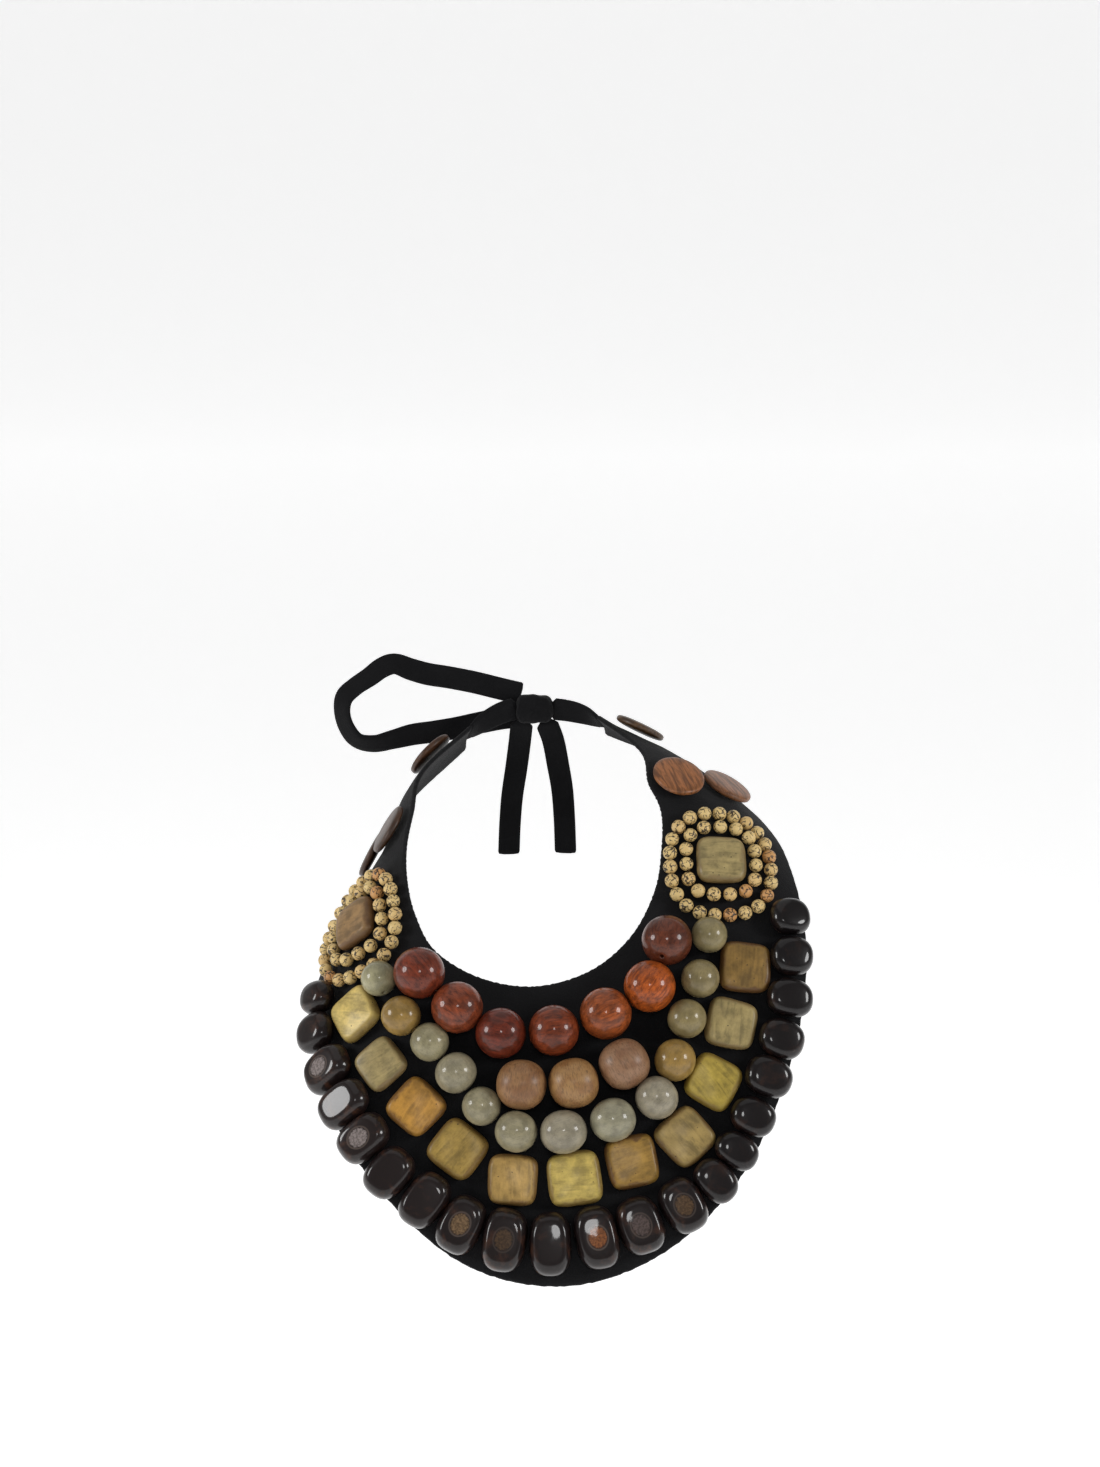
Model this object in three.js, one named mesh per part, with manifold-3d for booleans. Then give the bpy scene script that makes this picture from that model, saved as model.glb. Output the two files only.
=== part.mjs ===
// A beaded bib necklace: a crescent of stiff black suede, curved to lie round a neck and on the chest,
// with rows of sewn beads, two rosettes on the shoulders and a suede tie knotted at the nape.
// Millimetres, +Z up. The necklace faces -Y, and +X is the viewer's right. The origin is the middle of
// the opening for the neck.

import * as THREE from 'three';
import { mergeVertices } from 'three/addons/utils/BufferGeometryUtils.js';
import Module from 'manifold-3d';

const wasm = await Module();
wasm.setup();

// ---- driving sizes -------------------------------------------------------------------------------

const CLOTH = 2; // thickness of the collar
const GAP = 0.4; // air between a bead and the cloth that it is sewn to
const LAST = 8; // sections are numbered from -LAST, the viewer's left end, to +LAST
const STEPS_PER_SECTION = 4;
const STEPS_ACROSS = 6;
const TILE_HEIGHT = 6;
const SEED_HEIGHT = 11;
const DISC = { across: 22.5, height: 4, lift: 1.6 };
const SMALL_BEAD = 6.1; // diameter of a rosette's beads
const THREAD = 0.7; // radius of the thread that joins small beads
const RIBBON = { width: 10, thickness: 2.4 };

// Sections across the collar: the neck edge, the free edge and how far the cloth bows out between them.
const SECTIONS = [
  { inner: [-28, 53, 42], outer: [-31, 66, 29], bow: 1 },
  { inner: [-49, 30, 27], outer: [-59, 53, 4], bow: 1 },
  { inner: [-53, 8, 14], outer: [-69, 45, -21], bow: 2 },
  { inner: [-55, -8, 3], outer: [-86, 17, -47], bow: 4 },
  { inner: [-54, -22, -8], outer: [-94, -15, -62], bow: 4 },
  { inner: [-50, -34, -20], outer: [-91, -47, -86], bow: 3 },
  { inner: [-41, -44, -33], outer: [-72, -80, -115], bow: 3 },
  { inner: [-22, -50, -43], outer: [-32, -99, -149], bow: 2 },
  { inner: [1, -52, -46], outer: [12, -106, -158], bow: 2 },
  { inner: [24, -49, -40], outer: [54, -99, -146], bow: 2 },
  { inner: [41, -42, -27], outer: [88, -83, -116], bow: 3 },
  { inner: [51, -32, -10], outer: [109, -61, -71], bow: 3 },
  { inner: [54, -20, 5], outer: [115, -38, -32], bow: 4 },
  { inner: [54, -9, 18], outer: [108, -7, -2], bow: 6 },
  { inner: [49, -3, 30], outer: [93, 26, 11], bow: 5 },
  { inner: [46, 19, 39], outer: [68, 42, 26], bow: 3 },
  { inner: [28, 51, 47], outer: [32, 64, 36], bow: 1 },
];

// Rows of beads. Each runs through path points [section number, distance from the neck edge], and its
// first and last beads sit on the path's ends. The gaps between them are worked out, and then each bead
// is nudged along the path. Widths run along the row and depths across it. A turn is in degrees,
// anticlockwise seen from outside.
const ROWS = {
  rosewood_bead: {
    path: [[-2.02, 13.6], [-1.4, 17.5], [-0.63, 22.8], [0.2, 21.7], [1, 21.5], [1.85, 23.5], [2.49, 16.8]],
    widths: [21.5, 21.5, 21, 21, 21.5, 21.5, 21],
    nudges: [0, -0.4, -0.8, 0, 0.9, 0.7, 0],
  },
  tanwood_bead: {
    path: [[-0.3, 43.2], [0.4, 44.5], [1.1, 43.9]],
    widths: [20.6, 20.6, 20.6],
    nudges: [0, -0.4, 0],
  },
  grey_bead: {
    path: [
      [-2.62, 27], [-2.05, 32.2], [-1.6, 36], [-1.2, 43.5], [-0.8, 54], [-0.35, 62.5], [0.5, 63],
      [1.4, 62.4], [1.8, 53], [2.2, 43.5], [3.1, 31.8],
    ],
    widths: [14.5, 16.5, 16, 16.5, 16, 17.5, 19.5, 19, 17.5, 17.5, 16.2, 16, 15],
    depths: [15, 16.5, 16, 17.5, 16, 17, 18, 18, 18, 17, 16.2, 16, 15],
    nudges: [0, 2.9, 1.2, 0.2, -0.2, -0.5, -1, -0.9, -0.3, -1.7, -2.1, -2, 0],
  },
  horn_tile: {
    path: [
      [-2.79, 45.9], [-2.15, 53], [-1.6, 62.2], [-1.08, 72.5], [-0.45, 81.6], [0.9, 81.5], [1.53, 82.5],
      [2.08, 71.2], [2.6, 60.5], [3.19, 52],
    ],
    widths: [21, 19.5, 21, 21.5, 21, 22.5, 21.5, 21.5, 21, 21, 21.5],
    nudges: [0, 2, 1.6, 0.8, 2.1, 1.7, 0.7, -0.2, 0.1, 0.6, 0],
    turns: [11, 3, 4, 2, 7, -3, -8, -5, -6, 5, 3],
  },
};

// The outer row is strung in three lengths: its beads are the cut and polished seeds of a palm.
const SEEDS = {
  path: [
    [-3.49, 57], [-3.17, 65.5], [-2.72, 70.5], [-2.33, 76], [-2, 83.5], [-1.68, 91.4], [-0.96, 102.5],
    [-0.53, 106.3], [0.4, 107.5], [1.28, 106.6], [1.65, 104.8], [1.95, 99.9], [2.6, 86.8], [3.3, 75.1],
    [4.06, 61.2],
  ],
  widths: [
    14.5, 17, 18, 17.5, 17.5, 17.5, 17.5, 18, 18.5, 17.5, 18, 18.5, 18, 15.5, 14.5, 16, 17, 16.5, 16.5, 17,
    16,
  ],
  depths: [
    17, 19, 23, 24, 23, 22.5, 24, 24.5, 26, 26, 26, 24, 23, 20, 19, 19, 20, 19.5, 19.5, 18, 17.5,
  ],
  nudges: [
    0, -0.7, 0, 0, -0.5, -0.5, -0.3, -0.6, -0.5, -0.4, 0.4, -0.2, 0.4, 0, -0.3, -0.6, -0.3, -0.7, -0.3, 0, 0,
  ],
  strings: ['seed_string_left', 'seed_string_front', 'seed_string_right'],
};

// Rosettes: a tile in two rings of small beads. A ring is a rounded oblong of these half sizes along
// the row and across it, shifted toward the front, and a higher power gives it squarer corners.
const ROSETTES = [
  { side: 'left', at: -3.95, out: 28, turn: 0 },
  { side: 'right', at: 4.3, out: 27, turn: 0 },
];
const ROSETTE_TILE = 21;
const RINGS = [
  { name: 'inner', along: 15.2, across: 14.4, power: 3.2, beads: 15, shift: 0.3 },
  { name: 'outer', along: 23, across: 21.3, power: 2.6, beads: 23, shift: 1.5 },
];

// Flat wooden discs on the shoulders. A lean, in degrees, lifts the side away from the neck.
const DISCS = [
  { name: 'disc_left_1', at: -5.75, out: 13, lean: 0 },
  { name: 'disc_left_2', at: -5.85, out: 38, lean: 0 },
  { name: 'disc_left_3', at: -7.5, out: 12, lean: 0 },
  { name: 'disc_right_1', at: 5.95, out: 12.5, lean: -8 },
  { name: 'disc_right_2', at: 5.95, out: 38, lean: -6 },
  { name: 'disc_right_3', at: 7.5, out: 12, lean: 0 },
];

// The tie: two stretches from the collar's ends to the knot, a bow loop and two tails. Each row is a
// point on the ribbon's middle line and the way its flat side faces there.
const KNOT = { at: [0, 66, 46], width: 17, depth: 10, height: 13 };
const TIE_LEFT = [
  { at: [-28.3, 60.4, 36.5], facing: [-0.7, 0.4, 0.5] },
  { at: [-23.5, 62.6, 39.8], facing: [-0.5, 0.75, 0.3] },
  { at: [-18.5, 64.2, 42.6], facing: [-0.35, 0.9, 0.15] },
  { at: [-13.5, 65.2, 44.8], facing: [-0.22, 0.97, 0.05] },
  { at: [-8.9, 65.6, 46], facing: [-0.15, 0.99, 0] },
];
const TIE_RIGHT = [
  { at: [28.8, 59, 41.9], facing: [0.6, 0.4, 0.65] },
  { at: [24, 61.9, 43.5], facing: [0.5, 0.7, 0.4] },
  { at: [19, 63.9, 44.7], facing: [0.35, 0.88, 0.2] },
  { at: [14, 65.1, 45.5], facing: [0.22, 0.96, 0.08] },
  { at: [8.9, 65.6, 46], facing: [0.15, 0.99, 0] },
];
const TIE_LOOP = [
  { at: [-6, 72.8, 51.5], facing: [0, -1, 0.1] },
  { at: [-16, 72.4, 54], facing: [0, -1, 0.1] },
  { at: [-27, 71.3, 57], facing: [0, -1, 0.1] },
  { at: [-38, 69.8, 59.5], facing: [0, -1, 0.1] },
  { at: [-47, 68.3, 61.3], facing: [0, -1, 0.2] },
  { at: [-54.5, 66.5, 63.8], facing: [0.1, -0.9, 0.4] },
  { at: [-61.5, 64, 66.8], facing: [0.15, -0.8, 0.6] },
  { at: [-67, 62, 65.6], facing: [0, -0.75, 0.65] },
  { at: [-73, 60.8, 61.4], facing: [-0.2, -0.7, 0.65] },
  { at: [-79, 59.3, 57.6], facing: [-0.4, -0.7, 0.6] },
  { at: [-83.8, 58.2, 53], facing: [-0.6, -0.75, 0.3] },
  { at: [-84.8, 57.6, 46.5], facing: [-0.7, -0.7, 0] },
  { at: [-82.9, 58.3, 39.3], facing: [-0.6, -0.75, -0.25] },
  { at: [-78.5, 59.8, 33.2], facing: [-0.35, -0.8, -0.5] },
  { at: [-71, 61.6, 31.2], facing: [0, -0.85, -0.5] },
  { at: [-62.5, 64, 32.6], facing: [0, -0.92, -0.35] },
  { at: [-54, 66.5, 34.2], facing: [0, -1, -0.1] },
  { at: [-45, 68.5, 35], facing: [0, -1, 0] },
  { at: [-35, 70.3, 36.3], facing: [0, -1, 0] },
  { at: [-25, 71.8, 38.2], facing: [0, -1, 0] },
  { at: [-15, 72.7, 40], facing: [0, -1, 0] },
  { at: [-6, 72.8, 41], facing: [0, -1, 0] },
];
const TAILS = [
  {
    name: 'tie_tail_left',
    rows: [
      { at: [-5.6, 66.5, 38.8], facing: [0, 1, 0.2] },
      { at: [-6.5, 69.5, 30], facing: [0, 1, 0.2] },
      { at: [-8, 72, 18], facing: [0, 1, 0.1] },
      { at: [-10, 73.2, 4], facing: [-0.2, 1, 0] },
      { at: [-11, 72.5, -9], facing: [-0.3, 1, 0] },
      { at: [-11.5, 72, -22], facing: [-0.3, 1, 0] },
    ],
  },
  {
    name: 'tie_tail_right',
    rows: [
      { at: [5.8, 66.5, 38.8], facing: [0, 1, 0.2] },
      { at: [8.5, 69.5, 30.5], facing: [0, 1, 0.2] },
      { at: [10.5, 72, 19.5], facing: [0, 1, 0.1] },
      { at: [12.5, 73.2, 7], facing: [0.2, 1, 0] },
      { at: [13.5, 72.5, -7], facing: [0.3, 1, 0] },
      { at: [14, 72, -21.5], facing: [0.3, 1, 0] },
    ],
  },
];

const FINISHES = {
  suede: { color: 0x1c1b1d, roughness: 0.95 },
  rosewood: { color: 0x84361f, roughness: 0.25 },
  tanwood: { color: 0x9a6a4a, roughness: 0.4 },
  stone: { color: 0x9c947c, roughness: 0.25 },
  horn: { color: 0xab9150, roughness: 0.4 },
  seed: { color: 0x1e1512, roughness: 0.2 },
  speckled: { color: 0xd8bd80, roughness: 0.5 },
  discwood: { color: 0x8a5a34, roughness: 0.4 },
};

// ---- the cloth surface ---------------------------------------------------------------------------

// A smooth curve through equally spaced rows of numbers, read at a row number that may be a fraction.
function through(rows, place) {
  const first = THREE.MathUtils.clamp(Math.floor(place), 0, rows.length - 2);
  const t = place - first;
  const [b, c] = [rows[first], rows[first + 1]];
  const a = rows[first - 1] ?? b.map((value, k) => 2 * value - c[k]);
  const d = rows[first + 2] ?? c.map((value, k) => 2 * value - b[k]);
  return b.map((value, k) => {
    const [start, end] = [(c[k] - a[k]) / 2, (d[k] - value) / 2];
    const cubic = 2 * value - 2 * c[k] + start + end;
    const square = 3 * c[k] - 3 * value - 2 * start - end;
    return ((cubic * t + square) * t + start) * t + value;
  });
}

const SECTION_ROWS = SECTIONS.map(({ inner, outer, bow }) => [...inner, ...outer, bow]);

function edges(at) {
  const row = through(SECTION_ROWS, at + LAST);
  return {
    inner: new THREE.Vector3(...row.slice(0, 3)),
    outer: new THREE.Vector3(...row.slice(3, 6)),
    bow: row[6],
  };
}

function widthAt(at) {
  const { inner, outer } = edges(at);
  return inner.distanceTo(outer);
}

const middle = (at) => {
  const { inner, outer } = edges(at);
  return inner.add(outer).multiplyScalar(0.5);
};

// The cloth's outer face, at a section number and a share of the way from the neck edge to the free one.
function sheet(at, share) {
  const small = 0.001;
  const { inner, outer, bow } = edges(at);
  const across = outer.clone().sub(inner);
  const along = middle(Math.min(at + small, LAST)).sub(middle(Math.max(at - small, -LAST)));
  const out = across.clone().cross(along).normalize();
  return inner.addScaledVector(across, share).addScaledVector(out, bow * 4 * share * (1 - share));
}

// Where a bead sits: a point lifted off the cloth, with the cloth's directions there.
function seat(at, share, lift) {
  const small = 0.001;
  const along = sheet(Math.min(at + small, LAST), share).sub(sheet(Math.max(at - small, -LAST), share));
  const across = sheet(at, share + small).sub(sheet(at, share - small));
  const normal = across.clone().cross(along).normalize();
  const point = sheet(at, share).addScaledVector(normal, lift);
  return { at, share, point, normal, along, across, small };
}

// The seat straight under or over a point, found in a few steps of Newton's method.
function seatUnder(target, start, lift) {
  let found = seat(start.at, start.share, lift);
  for (let step = 0; step < 8; step += 1) {
    const off = target.clone().sub(found.point);
    const perAt = found.along.clone().divideScalar(2 * found.small);
    const perShare = found.across.clone().divideScalar(2 * found.small);
    const [aa, as, ss] = [perAt.dot(perAt), perAt.dot(perShare), perShare.dot(perShare)];
    const [ao, so] = [perAt.dot(off), perShare.dot(off)];
    const det = aa * ss - as * as;
    found = seat(found.at + (ao * ss - so * as) / det, found.share + (so * aa - ao * as) / det, lift);
  }
  return found;
}

// ---- solids --------------------------------------------------------------------------------------

function fromGrid(vertices, triangles) {
  const geometry = new THREE.BufferGeometry();
  geometry.setAttribute('position', new THREE.Float32BufferAttribute(vertices.flat(), 3));
  geometry.setIndex(triangles.flat());
  return geometry;
}

// Rings of points, each as long as the last, joined into a closed solid with flat ends.
function fromRings(rings) {
  const count = rings[0].length;
  const triangles = [];
  for (let ring = 0; ring + 1 < rings.length; ring += 1) {
    for (let k = 0; k < count; k += 1) {
      const [a, b] = [ring * count + k, ring * count + ((k + 1) % count)];
      triangles.push([a, b, b + count], [a, b + count, a + count]);
    }
  }
  const top = (rings.length - 1) * count;
  for (let k = 1; k + 1 < count; k += 1) {
    triangles.push([0, k + 1, k], [top, top + k, top + k + 1]);
  }
  return fromGrid(rings.flat(), triangles);
}

// A low rounded body on the XY plane: an oval or rounded square whose outline swells and draws in as it
// rises. Power 2 gives an ellipse and 4 or 5 a rounded square.
function pillow({ width, depth, height, power, sides, profile }) {
  const rings = profile.map(([rise, swell]) => Array.from({ length: sides }, (_, k) => {
    const angle = ((k + 0.5) * 2 * Math.PI) / sides;
    const [c, s] = [Math.cos(angle), Math.sin(angle)];
    const reach = swell / (Math.abs(c) ** power + Math.abs(s) ** power) ** (1 / power);
    return [(reach * c * width) / 2, (reach * s * depth) / 2, rise * height];
  }));
  return fromRings(rings);
}

const TILE_PROFILE = [[0, 0.88], [0.3, 1], [0.75, 0.98], [1, 0.84]];
const SEED_PROFILE = [[0, 0.6], [0.35, 1], [0.75, 0.9], [1, 0.5]];
const DISC_PROFILE = [[0, 0.86], [0.45, 1], [1, 0.8]];

function ball(width, depth) {
  const [around, down] = [10, 6];
  return new THREE.SphereGeometry(0.5, around, down).scale(width, depth, (width + depth) / 2);
}

// A flat strip with chamfered corners, swept along a smooth curve through its rows.
function strip(rows, stepsPerRow = 2) {
  const [w, t] = [RIBBON.width / 2, RIBBON.thickness / 2];
  const corner = t * 0.6;
  const section = [
    [w, -t + corner], [w, t - corner], [w - corner, t], [-w + corner, t],
    [-w, t - corner], [-w, -t + corner], [-w + corner, -t], [w - corner, -t],
  ];
  const numbers = rows.map(({ at, facing }) => [...at, ...facing]);
  const steps = (rows.length - 1) * stepsPerRow;
  const rings = [];
  for (let step = 0; step <= steps; step += 1) {
    const place = step / stepsPerRow;
    const small = 0.01;
    const row = through(numbers, place);
    const centre = new THREE.Vector3(...row.slice(0, 3));
    const next = Math.min(place + small, rows.length - 1);
    const ahead = new THREE.Vector3(...through(numbers, next).slice(0, 3));
    const behind = new THREE.Vector3(...through(numbers, Math.max(place - small, 0)).slice(0, 3));
    const run = ahead.sub(behind).normalize();
    const side = new THREE.Vector3(...row.slice(3)).cross(run).normalize();
    const face = run.clone().cross(side);
    const corner = ([x, y]) => centre.clone().addScaledVector(side, x).addScaledVector(face, y);
    rings.push(section.map((offset) => corner(offset).toArray()));
  }
  return fromRings(rings);
}

// ---- joining small pieces along their thread -----------------------------------------------------

function toSolid(geometry) {
  const bare = geometry.clone();
  bare.deleteAttribute('normal');
  bare.deleteAttribute('uv');
  const merged = mergeVertices(bare, 1e-4);
  const mesh = {
    numProp: 3,
    vertProperties: merged.attributes.position.array,
    triVerts: new Uint32Array(merged.index.array),
  };
  return new wasm.Manifold(new wasm.Mesh(mesh));
}

function toGeometry(solid) {
  const mesh = solid.getMesh();
  const geometry = new THREE.BufferGeometry();
  geometry.setAttribute('position', new THREE.BufferAttribute(mesh.vertProperties, 3));
  geometry.setIndex(new THREE.BufferAttribute(mesh.triVerts, 1));
  return geometry;
}

function threadBetween(from, to) {
  const length = from.distanceTo(to);
  const heading = to.clone().sub(from).normalize();
  const turn = new THREE.Quaternion().setFromUnitVectors(new THREE.Vector3(0, 1, 0), heading);
  const middle = from.clone().add(to).multiplyScalar(0.5);
  const place = new THREE.Matrix4().compose(middle, turn, new THREE.Vector3(1, 1, 1));
  return new THREE.CylinderGeometry(THREAD, THREAD, length, 3).applyMatrix4(place);
}

// One solid of beads already in place, with a thread from each bead's middle to the next one's.
function strung(beads, middles, closed) {
  let solid = toSolid(beads[0]);
  for (const bead of beads.slice(1)) {
    solid = solid.add(toSolid(bead));
  }
  const spans = closed ? middles.length : middles.length - 1;
  for (let k = 0; k < spans; k += 1) {
    solid = solid.add(toSolid(threadBetween(middles[k], middles[(k + 1) % middles.length])));
  }
  return toGeometry(solid);
}

// ---- placing -------------------------------------------------------------------------------------

const necklace = new THREE.Group();
necklace.name = 'beaded_necklace';

function add(name, geometry, finish) {
  const material = new THREE.MeshStandardMaterial({ ...FINISHES[finish], metalness: 0 });
  const mesh = new THREE.Mesh(geometry, material);
  mesh.name = name;
  necklace.add(mesh);
  return mesh;
}

// Sets a bead's X along the row and its Z away from the cloth, then turns it on its seat.
function frameOf({ point, normal }, run, turn = 0) {
  const x = run.clone().addScaledVector(normal, -run.dot(normal)).normalize();
  const y = normal.clone().cross(x);
  const basis = new THREE.Matrix4().makeBasis(x, y, normal).setPosition(point);
  return basis.multiply(new THREE.Matrix4().makeRotationZ(THREE.MathUtils.degToRad(turn)));
}

function setOn(mesh, matrix) {
  matrix.decompose(mesh.position, mesh.quaternion, mesh.scale);
}

// The seats of a row's beads, side by side along its path at the height of their middles.
function rowSeats({ path, widths, nudges }, lift) {
  const samples = 400;
  const points = [];
  const places = [];
  const lengths = [0];
  for (let k = 0; k <= samples; k += 1) {
    const [at, out] = through(path, (k * (path.length - 1)) / samples);
    points.push(seat(at, out / widthAt(at), lift).point);
    places.push([at, out]);
    if (k > 0) lengths.push(lengths[k - 1] + points[k].distanceTo(points[k - 1]));
  }
  const centres = [0];
  widths.slice(1).forEach((width, k) => centres.push(centres[k] + (width + widths[k]) / 2));
  const gap = (lengths[samples] - centres.at(-1)) / (widths.length - 1);
  return centres.map((centre, k) => {
    const reach = Math.min(centre + gap * k + nudges[k], lengths[samples]);
    const after = Math.max(1, lengths.findIndex((length) => length >= reach - 1e-9));
    const share = (reach - lengths[after - 1]) / (lengths[after] - lengths[after - 1]);
    const [at, out] = places[after - 1].map((value, n) => value + (places[after][n] - value) * share);
    return { ...seat(at, out / widthAt(at), 0), run: points[after].clone().sub(points[after - 1]) };
  });
}

function lifted(place, lift) {
  return { ...place, point: place.point.clone().addScaledVector(place.normal, lift) };
}

// ---- collar --------------------------------------------------------------------------------------

function collarGeometry() {
  const columns = 2 * LAST * STEPS_PER_SECTION + 1;
  const rings = [];
  for (let column = 0; column < columns; column += 1) {
    const at = column / STEPS_PER_SECTION - LAST;
    const ring = [];
    for (const [face, order] of [[0, 1], [-CLOTH, -1]]) {
      for (let k = 0; k <= STEPS_ACROSS; k += 1) {
        const share = order > 0 ? k / STEPS_ACROSS : 1 - k / STEPS_ACROSS;
        ring.push(seat(at, share, face).point.toArray());
      }
    }
    rings.push(ring);
  }
  return fromRings(rings);
}

add('collar', collarGeometry(), 'suede');

// ---- rows of beads -------------------------------------------------------------------------------

const ROW_FINISH = { rosewood_bead: 'rosewood', tanwood_bead: 'tanwood', grey_bead: 'stone' };
for (const [name, finish] of Object.entries(ROW_FINISH)) {
  const row = ROWS[name];
  const depths = row.depths ?? row.widths;
  rowSeats(row, row.widths[0] / 2).forEach((place, k) => {
    const height = (row.widths[k] + depths[k]) / 2;
    const bead = add(`${name}_${k + 1}`, ball(row.widths[k], depths[k]), finish);
    setOn(bead, frameOf(lifted(place, height / 2 + GAP), place.run));
  });
}

const tileRow = ROWS.horn_tile;
const tileShape = (size) => pillow({
  width: size, depth: size, height: TILE_HEIGHT, power: 5, sides: 12, profile: TILE_PROFILE,
});
rowSeats(tileRow, TILE_HEIGHT / 2).forEach((place, k) => {
  const tile = add(`horn_tile_${k + 1}`, tileShape(tileRow.widths[k]), 'horn');
  setOn(tile, frameOf(lifted(place, GAP), place.run, tileRow.turns[k]));
});

// ---- outer row of seeds --------------------------------------------------------------------------

const seeds = rowSeats(SEEDS, SEED_HEIGHT / 2).map((place, k) => {
  const shape = pillow({
    width: SEEDS.widths[k], depth: SEEDS.depths[k], height: SEED_HEIGHT,
    power: 2.6, sides: 10, profile: SEED_PROFILE,
  });
  const matrix = frameOf(lifted(place, GAP), place.run);
  return { bead: shape.applyMatrix4(matrix), middle: lifted(place, GAP + SEED_HEIGHT * 0.4).point };
});
const perString = seeds.length / SEEDS.strings.length;
SEEDS.strings.forEach((name, k) => {
  const some = seeds.slice(k * perString, (k + 1) * perString);
  add(name, strung(some.map(({ bead }) => bead), some.map(({ middle: point }) => point), false), 'seed');
});

// ---- rosettes ------------------------------------------------------------------------------------

// Points evenly spaced round a rounded oblong, as offsets from the middle of the rosette.
function roundOblong({ along, across, power, beads, shift }, side) {
  const samples = 720;
  const outline = Array.from({ length: samples + 1 }, (_, k) => {
    const angle = (k * 2 * Math.PI) / samples;
    const [c, s] = [Math.cos(angle), Math.sin(angle)];
    const reach = 1 / (Math.abs(c) ** power + Math.abs(s) ** power) ** (1 / power);
    return new THREE.Vector2(along * reach * c + shift * side, across * reach * s);
  });
  const lengths = [0];
  for (let k = 1; k <= samples; k += 1) lengths.push(lengths[k - 1] + outline[k].distanceTo(outline[k - 1]));
  return Array.from({ length: beads }, (_, k) => {
    const reach = (lengths[samples] * k) / beads;
    return outline[lengths.findIndex((length) => length >= reach)];
  });
}

for (const { side, at, out, turn } of ROSETTES) {
  const centre = seat(at, out / widthAt(at), 0);
  const tile = add(`rosette_tile_${side}`, tileShape(ROSETTE_TILE), 'horn');
  setOn(tile, frameOf(lifted(centre, GAP), centre.along, turn));
  const plane = frameOf(centre, centre.along, turn);
  for (const ring of RINGS) {
    const middles = roundOblong(ring, -Math.sign(at)).map((offset) => {
      const target = new THREE.Vector3(offset.x, offset.y, 0).applyMatrix4(plane);
      return seatUnder(target, centre, SMALL_BEAD / 2 + GAP).point;
    });
    const small = ({ x, y, z }) => new THREE.IcosahedronGeometry(SMALL_BEAD / 2).translate(x, y, z);
    const beads = middles.map(small);
    add(`rosette_${ring.name}_ring_${side}`, strung(beads, middles, true), 'speckled');
  }
}

// ---- shoulder discs ------------------------------------------------------------------------------

for (const { name, at, out, lean } of DISCS) {
  const place = seat(at, out / widthAt(at), 0);
  const shape = pillow({
    width: DISC.across, depth: DISC.across, height: DISC.height, power: 2, sides: 14, profile: DISC_PROFILE,
  });
  const leaning = new THREE.Matrix4().makeRotationX(THREE.MathUtils.degToRad(lean));
  setOn(add(name, shape, 'discwood'), frameOf(lifted(place, DISC.lift), place.along).multiply(leaning));
}

// ---- tie -----------------------------------------------------------------------------------------

add('tie_left', strip(TIE_LEFT), 'suede');
add('tie_right', strip(TIE_RIGHT), 'suede');
add('tie_loop', strip(TIE_LOOP, 1), 'suede');
for (const { name, rows } of TAILS) {
  add(name, strip(rows, 1), 'suede');
}
const knotShape = pillow({
  width: KNOT.width, depth: KNOT.height, height: KNOT.depth,
  power: 2.6, sides: 12, profile: [[0, 0.6], [0.3, 1], [0.7, 1], [1, 0.6]],
});
const knot = add('tie_knot', knotShape, 'suede');
knot.rotation.x = -Math.PI / 2;
knot.position.set(KNOT.at[0], KNOT.at[1] - KNOT.depth / 2, KNOT.at[2]);

export default necklace;
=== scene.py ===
"""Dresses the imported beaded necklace: suede collar, sewn beads, rosettes, discs and a velvet tie.

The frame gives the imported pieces. Each operator below makes one kind of piece over them, in metres,
from the same sections and rows as the solids, which are written here in millimetres.
"""

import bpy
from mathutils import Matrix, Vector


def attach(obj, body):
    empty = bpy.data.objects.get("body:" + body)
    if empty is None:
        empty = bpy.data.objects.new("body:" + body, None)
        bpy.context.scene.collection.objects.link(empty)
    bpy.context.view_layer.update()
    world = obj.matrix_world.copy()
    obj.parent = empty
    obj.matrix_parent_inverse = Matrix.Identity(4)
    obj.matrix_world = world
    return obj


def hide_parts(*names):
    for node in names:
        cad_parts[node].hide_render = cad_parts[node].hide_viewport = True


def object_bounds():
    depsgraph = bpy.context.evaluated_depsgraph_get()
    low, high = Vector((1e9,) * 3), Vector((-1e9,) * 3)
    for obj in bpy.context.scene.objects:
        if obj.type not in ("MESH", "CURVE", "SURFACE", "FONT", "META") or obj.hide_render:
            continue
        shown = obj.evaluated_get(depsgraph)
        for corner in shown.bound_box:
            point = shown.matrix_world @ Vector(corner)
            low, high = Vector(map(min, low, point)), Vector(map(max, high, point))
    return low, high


bl_info = {
    "name": "Beaded Bib Necklace",
    "version": (1, 0, 0),
    "blender": (4, 5, 0),
    "location": "3D View > Sidebar > Necklace",
    "description": "Makes a suede bib necklace with sewn wooden, horn and seed beads",
    "category": "Add Mesh",
}

import bpy
import numpy as np
from bpy.props import FloatProperty, FloatVectorProperty, IntProperty, PointerProperty
from mathutils import Vector

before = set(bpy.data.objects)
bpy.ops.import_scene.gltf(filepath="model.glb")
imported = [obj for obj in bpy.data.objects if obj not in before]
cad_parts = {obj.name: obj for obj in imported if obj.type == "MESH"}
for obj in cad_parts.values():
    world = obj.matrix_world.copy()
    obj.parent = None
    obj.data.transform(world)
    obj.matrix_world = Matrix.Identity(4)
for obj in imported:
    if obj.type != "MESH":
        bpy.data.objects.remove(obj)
cad_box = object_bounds()

MM = 0.001
LAST = 8  # sections are numbered from -LAST, the viewer's left end, to +LAST
GAP = 0.4  # mm between a bead and the cloth
TAU = 2 * np.pi

# ---- the collar's shape and the rows sewn on it, in millimetres ----------------------------------

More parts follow.
